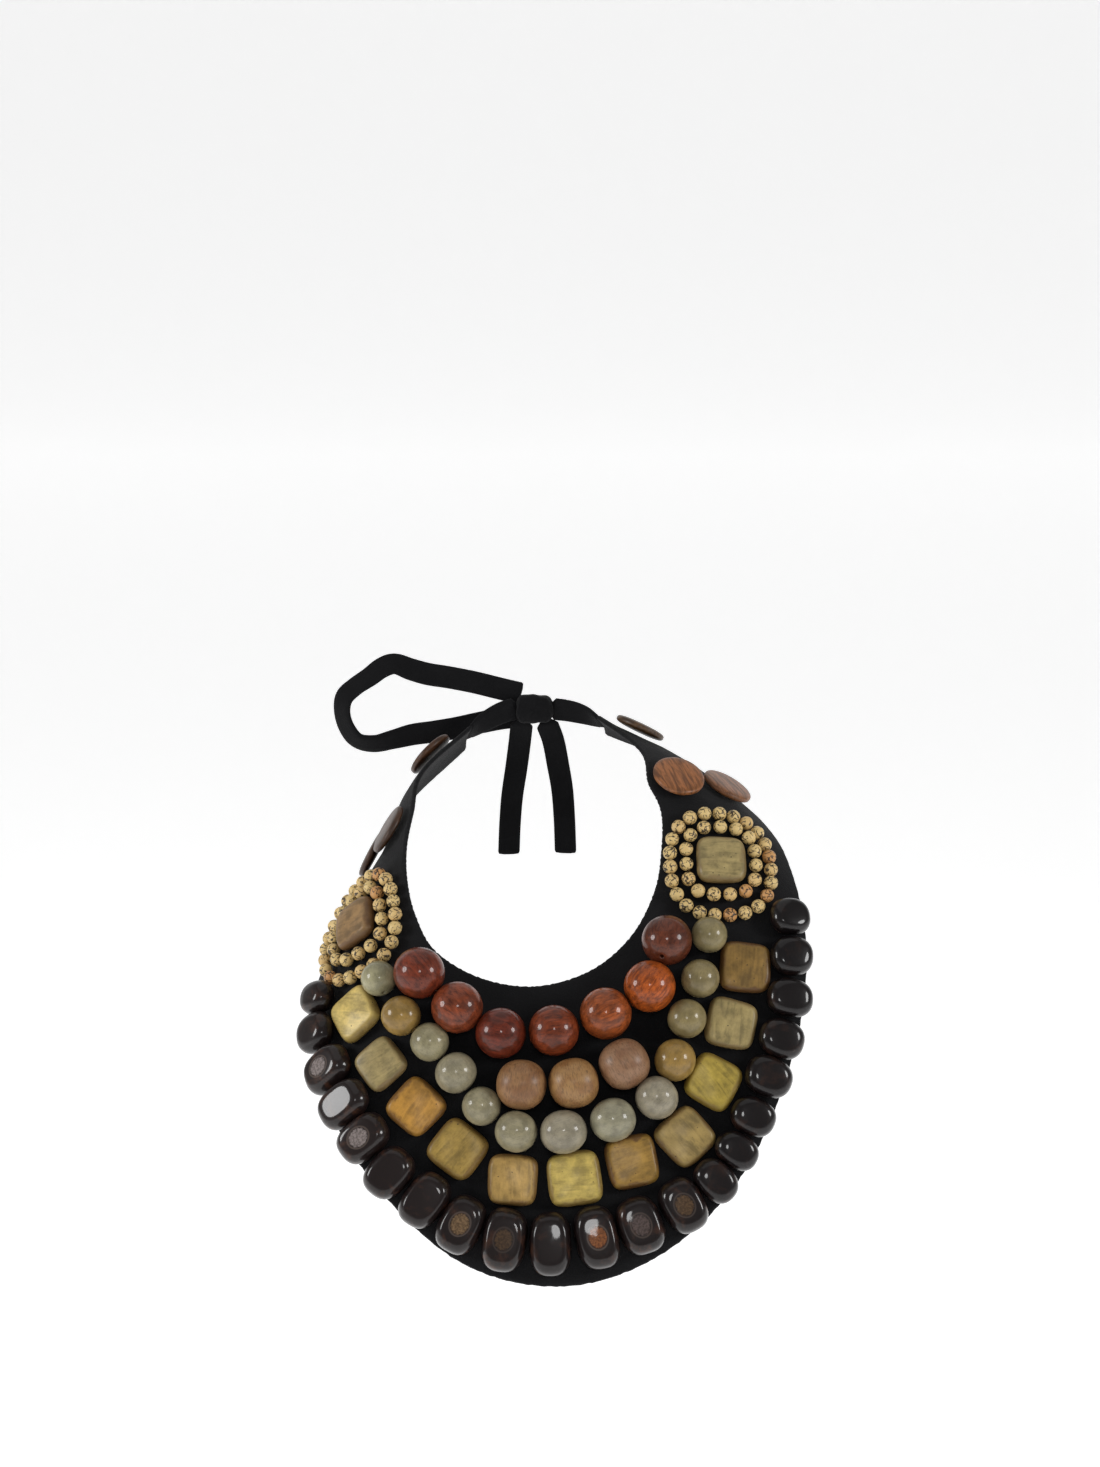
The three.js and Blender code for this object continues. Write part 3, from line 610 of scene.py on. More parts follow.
class Paint:
    """One material: a Principled surface, and the nodes that feed it."""

    def __init__(self, name, **constants):
        self.material = bpy.data.materials.new(name)
        self.material.use_nodes = True
        self.tree = self.material.node_tree
        self.surface = self.tree.nodes["Principled BSDF"]
        self.set(**constants)

    def node(self, kind, made=None, inputs=None, output=0):
        """Adds a node: its settings first, then a value or a link for each named or numbered input."""
        node = self.tree.nodes.new(kind)
        for key, value in (made or {}).items():
            setattr(node, key, value)
        for key, value in (inputs or {}).items():
            self.feed(node.inputs[key], value)
        return Value(self, node.outputs[output])

    def feed(self, socket, value):
        if isinstance(value, Value):
            self.tree.links.new(value.socket, socket)
        elif socket.type == "RGBA":
            socket.default_value = (*value, 1)
        else:
            socket.default_value = value

    def mark(self, name):
        """A number stored on the mesh's points."""
        return self.node("ShaderNodeAttribute", {"attribute_name": name}, output=2)

    def tinted(self, shade):
        """A colour multiplied by the piece's own tint."""
        tint = self.node("ShaderNodeAttribute", {"attribute_name": "tint"}, output=1)
        return self.mix(1.0, shade, tint, "MULTIPLY")

    def own(self, stretch=(1, 1, 1)):
        """The piece's own coordinates in millimetres, stretched along its axes."""
        coordinates = self.node("ShaderNodeAttribute", {"attribute_name": "own"}, output=1)
        inputs = {"Vector": coordinates, "Scale": stretch}
        return self.node("ShaderNodeMapping", {"vector_type": "POINT"}, inputs)

    def here(self, scale):
        """Object coordinates in metres, scaled."""
        coordinates = self.node("ShaderNodeTexCoord", output=3)
        return self.node("ShaderNodeMapping", {}, {"Vector": coordinates, "Scale": (scale, scale, scale)})

    def noise(self, vector, scale, detail=3.0, roughness=0.55, distortion=0.0):
        inputs = {
            "Vector": vector, "Scale": scale, "Detail": detail, "Roughness": roughness,
            "Distortion": distortion,
        }
        return self.node("ShaderNodeTexNoise", {}, inputs)

    def cells(self, vector, scale, randomness=1.0):
        """Distance to the nearest of scattered points."""
        inputs = {"Vector": vector, "Scale": scale, "Randomness": randomness}
        return self.node("ShaderNodeTexVoronoi", {"feature": "F1"}, inputs)

    def mix(self, factor, low, high, blend="MIX"):
        """Colour low where factor is 0 and high where it is 1."""
        made = {"data_type": "RGBA", "blend_type": blend}
        return self.node("ShaderNodeMix", made, {0: factor, 6: low, 7: high}, output=2)

    def bump(self, height, distance, strength=1.0):
        """Tilts the surface's normal by a height, in metres of the given distance."""
        inputs = {"Height": height, "Distance": distance, "Strength": strength}
        self.feed(self.surface.inputs["Normal"], self.node("ShaderNodeBump", {}, inputs))

    def set(self, **sockets):
        """Values or links for the surface's inputs, such as base_color for Base Color."""
        for socket, value in sockets.items():
            name = socket.replace("_", " ").title().replace("Ior", "IOR")
            self.feed(self.surface.inputs[name], value)


def scaled(shade, amount):
    """A colour made lighter or darker, no part above 1."""
    return tuple(min(1.0, amount * part) for part in shade)


def suede_paint(cloth):
    """Matt black with a fine nap and slow uneven shading."""
    paint = Paint("suede", sheen_weight=0.06, sheen_roughness=0.5, specular_ior_level=0.12)
    here = paint.here(1.0)
    nap = paint.noise(here, 1600.0, 2.0, 0.7)
    brushed = paint.noise(here, 45.0, 4.0, 0.6)
    amount = (nap * 0.5 + brushed * 0.8 - 0.3).clamped()
    paint.set(base_color=paint.mix(amount, tuple(cloth.suede), scaled(cloth.suede, 2.6)))
    paint.set(roughness=brushed * 0.15 + 0.82)
    paint.bump(nap + brushed * 1.5, 0.00035, 0.9)
    return paint.material


def velvet_paint(cloth):
    """Deep black ribbon with a soft sheen at its turned edges and a fine cross rib."""
    paint = Paint("velvet", sheen_weight=0.08, sheen_roughness=0.35, specular_ior_level=0.1, roughness=0.9)
    here = paint.here(1.0)
    pile = paint.noise(here, 2200.0, 2.0, 0.7)
    crush = paint.noise(here, 90.0, 3.0, 0.6)
    amount = (pile * 0.6 + crush * 0.5 - 0.2).clamped()
    paint.set(base_color=paint.mix(amount, tuple(cloth.velvet), scaled(cloth.velvet, 2.5)))
    paint.bump(pile + crush * 2.0, 0.0003, 0.8)
    return paint.material


def rosewood_paint(beads):
    """Lacquered red wood: long darker grain along the thread, small dark pores, and pale flecks."""
    paint = Paint("rosewood", coat_weight=0.6, coat_roughness=0.05, coat_ior=1.4, specular_ior_level=0.15)
    cloud = paint.noise(paint.own((0.14, 0.25, 0.25)), 1.0, 4.0, 0.6, 0.6)
    grain = paint.noise(paint.own((0.12, 0.9, 0.9)), 1.0, 5.0, 0.65, 0.5)
    fine = paint.noise(paint.own((0.35, 3.0, 3.0)), 1.0, 4.0, 0.65, 0.3)
    pores = 1.0 - paint.cells(paint.own((0.9, 2.4, 2.4)), 1.0).step(0.12, 0.26)
    low, high = scaled(beads.rosewood, 0.6), scaled(beads.rosewood, 1.5)
    wood = paint.tinted(paint.mix(cloud.step(0.3, 0.7), low, high))
    dark = scaled(beads.rosewood, 0.16)
    wood = paint.mix((grain.step(0.46, 0.66) * 0.6).clamped(), wood, dark)
    wood = paint.mix((fine.step(0.5, 0.7) * 0.4).clamped(), wood, dark)
    wood = paint.mix(pores * 0.6, wood, dark)
    paint.set(base_color=wood, roughness=fine * 0.2 + 0.32)
    paint.bump(fine * 0.6 - pores, 0.00012, 0.5)
    return paint.material


def tanwood_paint(beads):
    """Waxed tan wood with close fine grain and rosy patches."""
    paint = Paint("tan wood", coat_weight=0.2, coat_roughness=0.3, specular_ior_level=0.35)
    grain = paint.noise(paint.own((2.2, 0.35, 0.8)), 1.0, 5.0, 0.65, 0.4)
    patch = paint.noise(paint.own((0.16, 0.16, 0.16)), 1.0, 3.0, 0.6)
    rosy = (beads.tanwood[0] * 0.95, beads.tanwood[1] * 0.82, beads.tanwood[2] * 0.75)
    wood = paint.tinted(paint.mix(patch.step(0.35, 0.65), scaled(beads.tanwood, 1.3), rosy))
    wood = paint.mix((grain.step(0.45, 0.7) * 0.65).clamped(), wood, scaled(beads.tanwood, 0.3))
    paint.set(base_color=wood, roughness=grain * 0.15 + 0.38)
    paint.bump(grain, 0.00015, 0.5)
    return paint.material


def grey_paint(beads):
    """Polished nut: slow cloudy colour, close short grain, a few fine dark specks."""
    paint = Paint("grey bead", coat_weight=0.6, coat_roughness=0.06, coat_ior=1.4, specular_ior_level=0.15)
    cloud = paint.noise(paint.own((0.2, 0.2, 0.2)), 1.0, 4.0, 0.6)
    grain = paint.noise(paint.own((0.4, 2.2, 2.2)), 1.0, 4.0, 0.6)
    specks = 1.0 - paint.cells(paint.own((0.5, 0.5, 0.5)), 1.0).step(0.05, 0.1)
    low, high = scaled(beads.grey, 0.75), scaled(beads.grey, 1.2)
    shell = paint.tinted(paint.mix(cloud.step(0.3, 0.7), low, high))
    dark = scaled(beads.grey, 0.25)
    shell = paint.mix((grain.step(0.48, 0.72) * 0.3).clamped(), shell, dark)
    shell = paint.mix(specks * 0.6, shell, dark)
    paint.set(base_color=shell, roughness=grain * 0.1 + 0.28)
    paint.bump(grain * 0.3 - specks, 0.0001, 0.4)
    return paint.material


def horn_paint(beads):
    """Streaked horn: long light and dark streaks one way, brown at the rim that is partly the horn's burnt
    edge and partly painted shade on every tile's bevel, and small dark pits."""
    paint = Paint("horn", coat_weight=0.2, coat_roughness=0.25, specular_ior_level=0.3)
    burn, rim = paint.mark("burn"), paint.mark("rim")
    streak = paint.noise(paint.own((0.05, 0.3, 0.3)), 1.0, 4.0, 0.55, 1.0)
    mottle = paint.noise(paint.own((0.17, 0.17, 0.17)), 1.0, 5.0, 0.65)
    fine = paint.noise(paint.own((0.4, 3.4, 1.5)), 1.0, 4.0, 0.6)
    body = ((streak - 0.5) * 2.2 + (mottle - 0.5) * 2.6 + 0.5).clamped()
    horn = paint.tinted(paint.mix(body, scaled(beads.horn, 0.6), scaled(beads.horn, 1.35)))
    # Brown rim: the horn's burnt edge, stronger with each tile's burn, over painted shade on the bevel that
    # every tile gets.
    burnt_and_shaded_rim = (rim * 1.1 + (mottle - 0.5) * 2.0 + (streak - 0.5) * 0.8).step(0.5, 1.0) * (burn * 0.55 + 0.45)
    horn = paint.mix((burnt_and_shaded_rim * 0.9).clamped(), horn, tuple(beads.horn_burnt_and_shade))
    lines = streak.step(0.56, 0.68) * (burn * 0.4 + 0.1)
    horn = paint.mix((lines * fine.step(0.35, 0.65)).clamped(), horn, tuple(beads.horn_burnt_and_shade))
    pits = (1.0 - paint.cells(paint.own((0.34, 0.34, 0.34)), 1.0).step(0.06, 0.13)) * mottle.step(0.5, 0.58)
    horn = paint.mix(pits * 0.85, horn, (0.01, 0.008, 0.006))
    paint.set(base_color=horn, roughness=fine * 0.2 + 0.38)
    paint.bump(fine * 0.4 + streak * 0.4 - pits, 0.0002, 0.6)
    return paint.material


def seed_paint(beads):
    """Polished black-brown seed: a pale heart where the top is cut, red-brown patches on the skin."""
    paint = Paint("dark seed", coat_weight=0.8, coat_roughness=0.05, coat_ior=1.4, specular_ior_level=0.1)
    heart, core, rim, skin_tone = (paint.mark(name) for name in ("heart", "core", "rim", "skin"))
    patch = paint.noise(paint.own((0.14, 0.14, 0.14)), 1.0, 4.0, 0.6, 0.4)
    fine = paint.noise(paint.own((1.1, 1.1, 1.1)), 1.0, 4.0, 0.6)
    skin = paint.mix(skin_tone, tuple(beads.seed), (0.013, 0.008, 0.0075))
    brown = (patch.step(0.5, 0.72) * (rim * 0.7 + 0.2) * (skin_tone * 0.7 + 0.1)).clamped()
    skin = paint.mix(brown, skin, (0.085, 0.034, 0.018))
    edge = core.step(-0.12, 0.0) * (1.0 - core.step(0.02, 0.12))
    skin = paint.mix((edge * heart * 0.5).clamped(), skin, (0.12, 0.09, 0.075))
    middle = (core + (fine - 0.5) * 0.3).step(0.05, 0.3)
    low, high = scaled(beads.seed_heart, 0.45), tuple(beads.seed_heart)
    paler = paint.tinted(paint.mix(fine.step(0.35, 0.65), low, high))
    skin = paint.mix((middle * heart * 0.95).clamped(), skin, paler)
    paint.set(base_color=skin, roughness=fine * 0.16 + 0.26)
    paint.bump(fine * 0.5 + patch, 0.00012, 0.35)
    return paint.material


def speckled_paint(beads):
    """Cream seed with short curved dark dashes, and an orange cast on some beads. A dash is where one
    noise crosses its middle and another is high."""
    paint = Paint("speckled bead", coat_weight=0.15, coat_roughness=0.3, specular_ior_level=0.35)
    tone, amount = paint.mark("tone"), paint.mark("amount")
    curl = paint.noise(paint.own((0.42, 0.42, 0.42)), 1.0, 1.0, 0.5, 0.4)
    patch = paint.noise(paint.own((0.62, 0.62, 0.62)), 1.0, 2.0, 0.5)
    warp = paint.noise(paint.own((0.9, 0.9, 0.9)), 1.0, 2.0, 0.6)
    ridge = 1.0 - (curl - 0.5).math("ABSOLUTE").step(0.025, 0.06)
    specks = ridge * (patch + amount * 0.12).step(0.46, 0.52)
    orange = (beads.cream[0] * 0.75, beads.cream[1] * 0.42, beads.cream[2] * 0.3)
    skin = paint.mix((tone * 0.8 + (warp - 0.5) * 0.5).clamped(), tuple(beads.cream), orange)
    skin = paint.mix((specks * 0.95).clamped(), skin, (0.02, 0.012, 0.008))
    paint.set(base_color=skin, roughness=warp * 0.2 + 0.4)
    paint.bump(0.0 - specks, 0.0001, 0.5)
    return paint.material


def disc_paint(beads):
    """Oiled disc wood with wavy grain across its flat side."""
    paint = Paint("disc wood", coat_weight=0.25, coat_roughness=0.25, specular_ior_level=0.3)
    rim = paint.mark("rim")
    grain = paint.noise(paint.own((0.09, 0.6, 0.5)), 1.0, 5.0, 0.6, 0.8)
    fine = paint.noise(paint.own((0.5, 4.0, 3.0)), 1.0, 3.0, 0.6)
    wood = paint.tinted(paint.mix(grain.step(0.35, 0.65), scaled(beads.disc, 0.5), scaled(beads.disc, 1.4)))
    wood = paint.mix((fine.step(0.5, 0.75) * 0.4 + rim * 0.25).clamped(), wood, scaled(beads.disc, 0.15))
    paint.set(base_color=wood, roughness=fine * 0.2 + 0.34)
    paint.bump(fine + grain, 0.00015, 0.5)
    return paint.material


# ---- pieces --------------------------------------------------------------------------------------


def dress(piece, slot, *nodes):
    """The piece stands for those solids, which it hides. The slot is not used."""
    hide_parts(*nodes)
    return piece


def shuffled(shape, seed):
    """Local points moved to a place of their own, so that no two pieces share a pattern."""
    return shape.reshape(-1, 3) + np.random.default_rng(seed).uniform(-400, 400, 3)


def turned_about_y(shape, degrees):
    """Local points turned about the axis across the row, so that a bead's hole tips off the cloth."""
    c, s = np.cos(np.radians(degrees)), np.sin(np.radians(degrees))
    x, y, z = np.moveaxis(shape, -1, 0)
    return np.stack([c * x + s * z, y, c * z - s * x], axis=-1)


def turned_about_z(shape, degrees):
    """Local points turned in the plane of the cloth, which turns a pattern that follows them."""
    c, s = np.cos(np.radians(degrees)), np.sin(np.radians(degrees))
    x, y, z = np.moveaxis(shape, -1, 0)
    return np.stack([c * x + s * y, c * y - s * x, z], axis=-1)


def drilled_beads(row, name, slot, paint, squareness, hole, around, seed):
    """One drilled bead for each place in a row, its hole along the row."""
    depths = row.get("depths", row["widths"])
    points, normals, runs = row_seats(row, row["widths"][0] / 2)
    leans = row.get("leans", [0] * len(depths))
    for k, (width, depth, tint) in enumerate(zip(row["widths"], depths, row["tints"])):
        shape, faces = bead_shape(width, depth, hole, around, squareness)
        tipped = turned_about_y(shape, leans[k])
        lift = (width + depth) / 4 + GAP
        own_frame = frame_of(points[k] + normals[k] * lift, normals[k], runs[k])
        surface = Surface()
        surface.add(place(tipped, own_frame), faces, own=shuffled(shape, seed + k), tint=tint)
        dress(surface.make(f"{name}_{k + 1}_turned", paint), slot, f"{name}_{k + 1}")


class NECKLACE_OT_stage(bpy.types.Operator):
    """Camera, studio lights and a pale sweep of paper under and behind the necklace"""

    bl_idname = "necklace.stage"
    bl_label = "Studio"

    def execute(self, context):
        stage = settings()[2]
        target = Vector((0.007, 0.0, 0.05))
        camera = bpy.data.objects.new("camera", bpy.data.cameras.new("camera"))
        context.scene.collection.objects.link(camera)
        back = Vector((0, -np.cos(stage.elevation), np.sin(stage.elevation)))
        camera.location = target + back * stage.distance
        camera.rotation_euler = back.to_track_quat("Z", "Y").to_euler()
        camera.data.lens = stage.lens
        camera.data.clip_end = 20
        context.scene.camera = camera
        context.scene.view_settings.view_transform = "Standard"

        # Columns: name, place from the middle of the collar, diameter in metres, power in watts.
        lights = [
            ("softbox_left", (-0.913, -0.265, 0.312), 0.36, 4.4),
            ("softbox_right", (0.842, -0.406, 0.358), 0.32, 4.0),
            ("softbox_middle", (0.04, -0.91, 0.414), 0.16, 0.9),
            ("softbox_top", (-0.1, 0.05, 1.3), 1.8, 3.4),
        ]
        middle = Vector((0, -0.06, -0.05))
        for name, offset, size, power in lights:
            lamp = bpy.data.lights.new(name, "AREA")
            lamp.shape, lamp.size, lamp.energy = "DISK", size, power
            holder = bpy.data.objects.new(name, lamp)
            context.scene.collection.objects.link(holder)
            holder.location = middle + Vector(offset)
            holder.rotation_euler = Vector(offset).to_track_quat("Z", "Y").to_euler()

        world = bpy.data.worlds.new("studio")
        world.use_nodes = True
        world.node_tree.nodes["Background"].inputs["Color"].default_value = (1.0, 1.0, 1.0, 1)
        world.node_tree.nodes["Background"].inputs["Strength"].default_value = 0.25
        context.scene.world = world
        self.sweep(cad_box[0][2] - stage.floor)
        return {"FINISHED"}

    def sweep(self, level):
        """Paper that runs flat, then turns up through a quarter circle into a wall."""
        half, front, bend, radius, top = 6.0, -6.0, 3.0, 1.5, 6.0
        turn = np.linspace(0, np.pi / 2, 24)
        y = np.concatenate([[front], bend + radius * np.sin(turn), [bend + radius]])
        z = np.concatenate([[0.0], radius * (1 - np.cos(turn)), [top]]) + level
        rows = np.stack([np.broadcast_to(y, (2, len(y))), np.broadcast_to(z, (2, len(z)))], axis=-1)
        x = np.array([-half, half])[:, None, None] * np.ones((1, len(y), 1))
        points = np.concatenate([x, rows], axis=-1).reshape(-1, 3)
        mesh = bpy.data.meshes.new("paper")
        mesh.from_pydata(points.tolist(), [], grid_faces(2, len(y))[:, ::-1].tolist())
        mesh.polygons.foreach_set("use_smooth", np.ones(len(mesh.polygons), bool))
        paper = Paint("paper", roughness=0.9, base_color=(0.93, 0.93, 0.93))
        paper.set(emission_color=(1, 1, 1), emission_strength=0.5)
        mesh.materials.append(paper.material)
        made = bpy.data.objects.new("paper", mesh)
        bpy.context.scene.collection.objects.link(made)


class NECKLACE_OT_tie(bpy.types.Operator):
    """Velvet ribbon: two stretches round the nape, the knot, one bow loop and two tails"""

    bl_idname = "necklace.tie"
    bl_label = "Tie"

    def execute(self, context):
        cloth = settings()[0]
        paint = velvet_paint(cloth)
        for name, rows in (("tie_left", TIE_LEFT), ("tie_right", TIE_RIGHT)):
            piece, _line = self.ribbon(f"{name}_ribbon", rows, cloth, paint, TIE_ENDS)
            dress(piece, "ribbon", name)
        loop, line = self.ribbon("tie_loop_ribbon", TIE_LOOP, cloth, paint, LOOP_ENDS)
        dress(loop, "ribbon", "tie_loop")
        self.declare(loop, line, cloth, "object", "loose")
        for name, rows in (("tie_tail_left", TAIL_LEFT), ("tie_tail_right", TAIL_RIGHT)):
            tail, line = self.ribbon(f"{name}_ribbon", rows, cloth, paint, TAIL_ENDS)
            dress(tail, "ribbon", name)
            self.declare(tail, line, cloth, "bare", "hanging")
        self.knot(paint)
        return {"FINISHED"}

    def ribbon(self, name, rows, cloth, paint, run_on):
        """A flat strip: at each place on a smooth curve, a superellipse section of power 4 across the
        ribbon and its thickness, closed with a round end. The strip runs on straight past the curve's
        start and finish, by run_on in millimetres, into what it is sewn or tied to."""
        width, thickness = cloth.ribbon_width / MM, cloth.ribbon_thickness / MM
        steps, around = 14 * (len(rows) - 1), 28
        place_at = np.linspace(0, len(rows) - 1, steps + 1)
        small = 0.01
        line = through(rows, place_at)
        ahead = through(rows, np.minimum(place_at + small, len(rows) - 1))[:, :3]
        run = unit(ahead - through(rows, np.maximum(place_at - small, 0))[:, :3])
        side = unit(np.cross(line[:, 3:], run))
        curve = line[:, :3]
        line = np.vstack([curve[0] - run[0] * run_on[0], curve, curve[-1] + run[-1] * run_on[1]])
        side = np.vstack([side[0], side, side[-1]])
        face = np.cross(np.vstack([run[0], run, run[-1]]), side)
        steps += 2
        angle = np.arange(around) * TAU / around
        c, s = np.cos(angle), np.sin(angle)
        across = width / 2 * np.sign(c) * np.abs(c) ** 0.5
        thick = thickness / 2 * np.sign(s) * np.abs(s) ** 0.7
        taper = np.ones(steps + 1)
        taper[[0, -1]], taper[[1, -2]] = 0.55, 0.92
        body = line[:, None] + side[:, None] * (across * taper[:, None])[..., None]
        body = body + face[:, None] * (thick * taper[:, None])[..., None]
        ends = line[[0, -1]]
        k = np.arange(around)
        following, last = (k + 1) % around, steps * around
        first_cap = np.stack([np.full(around, body.size // 3), following, k], axis=1)
        last_cap = np.stack([np.full(around, body.size // 3 + 1), last + k, last + following], axis=1)
        surface = Surface()
        surface.add(
            np.vstack([body.reshape(-1, 3), ends]),
            [grid_faces(steps + 1, around, wrap_columns=True), first_cap, last_cap],
        )
        return surface.make(name, paint), curve * MM

    def declare(self, piece, line, cloth, far_end, lay):
        """Does nothing: none of its arguments is used."""

    def knot(self, paint):
        """A tight knot: a cushion whose girth swells in three folds round its waist."""
        section = dome(0.75, 40)
        shape, faces = cushion_shape(KNOT["width"], KNOT["height"], KNOT["depth"], 2.6, section, 72)
        middle = shape - (0, 0, KNOT["depth"] / 2)
        angle = np.arctan2(middle[:, 1], middle[:, 0])
        fold = 1 + 0.05 * np.cos(3 * angle + middle[:, 2] * 0.6) + 0.03 * np.cos(middle[:, 0] * 1.1)
        middle = middle * fold[:, None]
        turned = np.stack([middle[:, 0], middle[:, 2], -middle[:, 1]], axis=1)
        surface = Surface()
        surface.add(turned + KNOT["at"], faces)
        dress(surface.make("tie_knot_folds", paint), "ribbon", "tie_knot")


class NECKLACE_OT_collar(bpy.types.Operator):
    """Suede crescent with soft cut edges"""

    bl_idname = "necklace.collar"
    bl_label = "Collar"

    def execute(self, context):
        cloth = settings()[0]
        half = cloth.thickness / MM / 2
        columns, across = 420, 54
        waver = 0.25  # mm that the cut edges wander
        closing = 22  # mm taken for a section's length where the thickness closes at the two ends
        at = np.linspace(-LAST, LAST, columns)
        ease = np.array([0.1, 0.25, 0.5, 0.8, 1.2]) / 60
        share = np.concatenate([[0], ease, np.linspace(0.03, 0.97, across), 1 - ease[::-1], [1]])
        grid_at, grid_share = np.meshgrid(at, share, indexing="ij")
        jitter = waver * (np.sin(grid_at * 71) + np.sin(grid_at * 113 + 1) + np.sin(grid_at * 37 + 2)) / 3
        width = width_at(grid_at)
        ragged = grid_share + jitter / width * (grid_share ** 20 - (1 - grid_share) ** 20)
        middle, normal, _along, _across = seat(grid_at, ragged, -half)
        inward = np.minimum(grid_share, 1 - grid_share) * width
        ends = (LAST - np.abs(grid_at)) * closing
        depth = np.clip(np.minimum(inward, ends) / half, 0, 1)
        swell = half * np.sqrt(1 - (1 - depth) ** 2)
        ripple = 0.12 * np.sin(grid_at * 9) * np.sin(grid_share * 14) * depth
        front = middle + normal * (swell + ripple)[..., None]
        back = middle - normal * swell[..., None]
        self.shell(front, back, depth)
        return {"FINISHED"}

    def shell(self, front, back, depth):
        """Two faces that share their border, where the thickness has closed to nothing."""
        rows, columns = front.shape[:2]
        border = np.zeros((rows, columns), bool)
        border[[0, -1]], border[:, [0, -1]] = True, True
        index_front = np.arange(rows * columns).reshape(rows, columns)
        index_back = np.full((rows, columns), -1)
        index_back[~border] = rows * columns + np.arange((~border).sum())
        index_back[border] = index_front[border]
        over = grid_faces(rows, columns)
        under = index_back.ravel()[over][:, ::-1]
        surface = Surface()
        surface.add(np.vstack([front.reshape(-1, 3), back[~border]]), [over, under])
        piece = surface.make("collar_suede", suede_paint(settings()[0]))
        dress(piece, "suede", "collar")
        middle = (front + back) / 2 * MM
        first = np.cross(middle[1:, :-1] - middle[:-1, :-1], middle[:-1, 1:] - middle[:-1, :-1])
        second = np.cross(middle[1:, 1:] - middle[1:, :-1], middle[1:, 1:] - middle[:-1, 1:])


class NECKLACE_OT_rosewood_beads(bpy.types.Operator):
    """Glossy red wooden balls nearest the neck"""

    bl_idname = "necklace.rosewood_beads"
    bl_label = "Rosewood beads"

    def execute(self, context):
        beads = settings()[1]
        hole = beads.hole / MM
        paint = rosewood_paint(beads)
        drilled_beads(ROSEWOOD, "rosewood_bead", "rosewood", paint, 1.0, hole, beads.around, 10)
        return {"FINISHED"}


class NECKLACE_OT_tanwood_beads(bpy.types.Operator):
    """Tan wooden balls below the rosewood ones"""

    bl_idname = "necklace.tanwood_beads"
    bl_label = "Tan wood beads"

    def execute(self, context):
        beads = settings()[1]
        hole = beads.hole / MM
        drilled_beads(TANWOOD, "tanwood_bead", "tanwood", tanwood_paint(beads), 0.9, hole, beads.around, 30)
        return {"FINISHED"}


class NECKLACE_OT_grey_beads(bpy.types.Operator):
    """Polished grey-beige beads, two of them olive"""

    bl_idname = "necklace.grey_beads"
    bl_label = "Grey beads"

    def execute(self, context):
        beads = settings()[1]
        hole = beads.hole / MM
        drilled_beads(GREY, "grey_bead", "grey_bead", grey_paint(beads), 0.97, hole, beads.around, 50)
        return {"FINISHED"}


def tile_piece(name, node, size, height, look, own_frame, paint, seed):
    """A horn tile: a cushion with a rounded square outline, slightly narrower on one side, bevelled top
    edges and a top that dips a little in places, marked with how near each point is to the rim."""
    tint, burn, grain = look
    chance = np.random.default_rng(seed)
    shape, faces = cushion_shape(size, size, height, 4.2, drawn(TILE_SECTION, 40), 96, 0.014, seed)
    narrower, phase = chance.uniform(-0.03, 0.03), chance.uniform(0, TAU, 2)
    shape[:, 0] *= 1 - abs(narrower) + narrower * shape[:, 1] / (size / 2)
    dent = np.sin(shape[:, 0] * 0.31 + phase[0]) * np.sin(shape[:, 1] * 0.27 + phase[1])
    shape[:, 2] -= 0.22 * (dent + 1) * (shape[:, 2] / height) ** 4
    reach = np.maximum(np.abs(shape[:, 0]), np.abs(shape[:, 1])) / (size / 2)
    rim = np.clip((reach - 0.45) / 0.5, 0, 1) ** 1.5
    streaks = shuffled(turned_about_z(shape, grain), seed)
    surface = Surface()
    surface.add(place(shape, own_frame), faces, own=streaks, tint=tint, burn=burn, rim=rim)
    dress(surface.make(name, paint), "horn_tile", node)


class NECKLACE_OT_horn_tiles(bpy.types.Operator):
    """Row of square horn tiles"""

    bl_idname = "necklace.horn_tiles"
    bl_label = "Horn tiles"

    def execute(self, context):
        beads = settings()[1]
        paint = horn_paint(beads)
        height = beads.tile_height / MM
        points, normals, runs = row_seats(TILES, height / 2)
        looks = zip(TILES["tints"], TILES["burns"], TILES["grains"])
        for k, (size, turn, look) in enumerate(zip(TILES["widths"], TILES["turns"], looks)):
            own_frame = frame_of(points[k] + normals[k] * GAP, normals[k], runs[k], turn)
            node = f"horn_tile_{k + 1}"
            tile_piece(f"{node}_cut", node, size, height, look, own_frame, paint, 70 + k)
        return {"FINISHED"}


class NECKLACE_OT_seed_strings(bpy.types.Operator):
    """Outer row of cut and polished dark seeds, in three strings"""

    bl_idname = "necklace.seed_strings"
    bl_label = "Dark seeds"

    def execute(self, context):
        beads = settings()[1]
        paint = seed_paint(beads)
        height = beads.seed_height / MM
        points, normals, runs = row_seats(SEEDS, height / 2)
        per_string = len(points) // len(SEEDS["strings"])
        for string, node in enumerate(SEEDS["strings"]):
            surface = Surface()
            for k in range(string * per_string, (string + 1) * per_string):
                columns = ("widths", "depths", "hearts", "cuts", "skins")
                width, depth, heart, cut, skin = (SEEDS[column][k] for column in columns)
                section = drawn(SEED_ROUND, 44) * (1 - cut) + drawn(SEED_CUT, 44) * cut
                outline = 2.3 + 0.4 * cut
                shape, faces = cushion_shape(width, depth, height, outline, section, 72, 0.02, 100 + k)
                own_frame = frame_of(points[k] + normals[k] * GAP, normals[k], runs[k])
                reach = np.hypot(shape[:, 0] / (width / 2), shape[:, 1] / (depth / 2))
                away = np.hypot(shape[:, 0], shape[:, 1] * 0.85) / HEART_REACH
                core = np.where(shape[:, 2] > height / 2, 1 - away, -1)
                surface.add(
                    place(shape, own_frame), faces, own=shuffled(shape, 100 + k), heart=heart, core=core,
                    skin=skin, tint=HEART_TINTS.get(k, PLAIN_HEART), rim=np.clip(reach, 0, 1),
                )
            dress(surface.make(f"{node}_polished", paint), "dark_seed", node)
        return {"FINISHED"}


